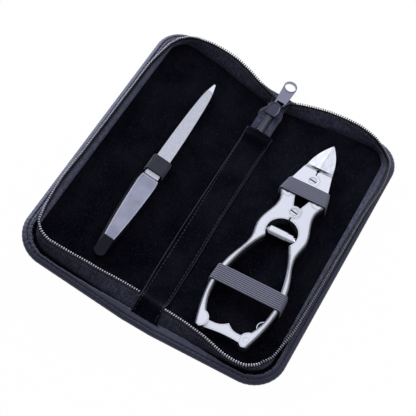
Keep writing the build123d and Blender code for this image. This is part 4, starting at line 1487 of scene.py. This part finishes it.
# ---- Slider's textured shield ----
def slider_shield():
    """The hammered shield with its raised rim on the slider's upper plate."""
    start = slider_start - 0.05
    wide, shoulder = 3.85, start + 3.0
    outline = [(-2.98, start), (0, start - 0.1), (2.98, start), (wide, shoulder)]
    for k in range(1, 12):
        t = k / 12 * math.pi / 2
        outline.append((wide * math.cos(t) ** 0.85, shoulder + 6.5 * math.sin(t)))
    outline.append((0, shoulder + 6.75))
    outline += [(-x, y) for x, y in reversed(outline[3:-1])]
    centre = Vector((0, start + 4.2))
    dense = []
    for a, b in zip(outline, outline[1:] + outline[:1]):
        for k in range(4):
            dense.append(Vector(a).lerp(Vector(b), k / 4))
    build = Build()
    rows = []
    rim = ((1.0, -0.15), (1.0, 0.2), (0.98, 0.33), (0.93, 0.34), (0.90, 0.26), (0.87, 0.05), (0.8, 0.0))
    for share, height in rim:
        row = [centre + (p - centre) * share for p in dense]
        rows.append(build.row([(q.x, q.y, slider_top + height) for q in row]))
    for share in (0.7, 0.6, 0.5, 0.4, 0.3, 0.2, 0.08):
        row = []
        for p in dense:
            q = centre + (p - centre) * share
            relief = 0.20 * ripple(q.x * 1.1, q.y * 1.1, 40) + 0.08 * ripple(q.x * 3, q.y * 3, 41)
            row.append((q.x, q.y, slider_top + relief))
        rows.append(build.row(row))
    build.skin(rows, wrap=True)
    build.cap(rows[-1])
    obj = build.done("slider_shield", M["slider_metal"], TAIL)
    fix_normals(obj)
    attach(obj, "slider")


slider_shield()


# ---- Studio ----
floor_half = 3.0           # metres
floor_glow = 0.985         # plain white; the rest of the floor takes light and shadow


def room_light(nodes, direction, axis, stops):
    """A level that changes with how far a direction points along an axis, from 0 against it to 1."""
    values = {0: nodes.dot(direction, axis), 1: 0.5, 2: 0.5}
    facing = nodes.node("ShaderNodeMath", values, operation="MULTIPLY_ADD").outputs[0]
    return nodes.ramp(facing, [(at, (level * 0.94, level * 0.96, level * 1.05)) for at, level in stops])


def studio_world():
    """Soft light from behind for dull surfaces, a lit room for shiny ones, white behind the object."""
    world = bpy.data.worlds.new("studio")
    bpy.context.scene.world = world
    world.use_nodes = True
    nodes = Nodes(world.node_tree)
    ray = nodes.node("ShaderNodeLightPath").outputs
    shiny = nodes.math("MAXIMUM", ray["Is Glossy Ray"], ray["Is Transmission Ray"])
    direction = nodes.place("Generated")
    room_stops = (
        (0.20, 0.50), (0.32, 0.55), (0.41, 0.16), (0.50, 0.18), (0.68, 0.40), (0.84, 0.90), (1.0, 0.93),
    )
    room = room_light(nodes, direction, (-0.30, 0.45, 0.84), room_stops)
    soft = room_light(nodes, direction, (0.45, 0.87, 0.2), ((0.0, 0.09), (0.5, 0.27), (1.0, 0.74)))
    lit = nodes.mix(shiny, soft, room)
    background = nodes.tree.nodes["Background"]
    nodes.feed(background.inputs["Color"], nodes.mix(ray["Is Camera Ray"], lit, (1, 1, 1)))
    background.inputs["Strength"].default_value = 1.0


def studio_floor():
    """A floor that looks white but for a trace of the object's shadow."""
    material = bpy.data.materials.new("studio_floor")
    material.use_nodes = True
    material.node_tree.nodes.clear()
    nodes = Nodes(material.node_tree)
    ray = nodes.node("ShaderNodeLightPath").outputs
    seen = nodes.math("MAXIMUM", ray["Is Camera Ray"], ray["Is Glossy Ray"])
    seen = nodes.math("MAXIMUM", seen, ray["Is Transmission Ray"])
    diffuse = nodes.node("ShaderNodeBsdfDiffuse", {"Color": (0.84, 0.84, 0.86, 1)})
    glow = nodes.node("ShaderNodeEmission", {"Color": (1, 1, 1, 1), "Strength": 1.0})
    share = nodes.math("MULTIPLY", seen, floor_glow)
    surface = nodes.node("ShaderNodeMixShader", {0: share, 1: diffuse.outputs[0], 2: glow.outputs[0]})
    nodes.node("ShaderNodeOutputMaterial", {"Surface": surface.outputs[0]})

    mesh = bpy.data.meshes.new("floor")
    corners = [(-1, -1), (1, -1), (1, 1), (-1, 1)]
    mesh.from_pydata([(x * floor_half, y * floor_half, -0.0004) for x, y in corners], [], [(0, 1, 2, 3)])
    mesh.materials.append(material)
    floor = bpy.data.objects.new("floor", mesh)
    bpy.context.scene.collection.objects.link(floor)


def lamp(name, direction, distance, size, power, colour):
    data = bpy.data.lights.new(name, "AREA")
    data.shape = "RECTANGLE"
    data.size, data.size_y = size
    data.energy = power
    data.color = colour
    obj = bpy.data.objects.new(name, data)
    target = Vector((-0.02, 0, 0))
    obj.location = target + Vector(direction).normalized() * distance
    obj.rotation_mode = "QUATERNION"
    obj.rotation_quaternion = (target - obj.location).to_track_quat("-Z", "Y")
    bpy.context.scene.collection.objects.link(obj)
    return obj


studio_world()
studio_floor()
key = lamp("softbox_back", (-0.20, 0.92, 0.42), 1.2, (1.6, 0.8), 12.0, (0.95, 0.96, 1.0))
key.visible_glossy = False
lamp("softbox_left", (-0.75, 0.50, 0.40), 1.1, (0.7, 0.8), 9.0, (0.88, 0.90, 1.0))

# ---- Camera, at the photograph's viewing angle ----
camera_at = Vector((95.5, -333.2, 559.6)) * MM
camera_right = Vector((0.87862, 0.47396, 0.05814))
camera_down = Vector((0.42762, -0.72677, -0.53754))
camera_view = camera_right.cross(camera_down)
camera_data = bpy.data.cameras.new("camera")
camera_data.lens = 103.5
camera_data.sensor_width = 36.0
camera_data.clip_start = 0.01
camera = bpy.data.objects.new("camera", camera_data)
axes = Matrix((camera_right, -camera_down, -camera_view)).transposed().to_4x4()
camera.matrix_world = Matrix.Translation(camera_at) @ axes
bpy.context.scene.collection.objects.link(camera)
bpy.context.scene.camera = camera
bpy.context.scene.view_settings.view_transform = "Standard"
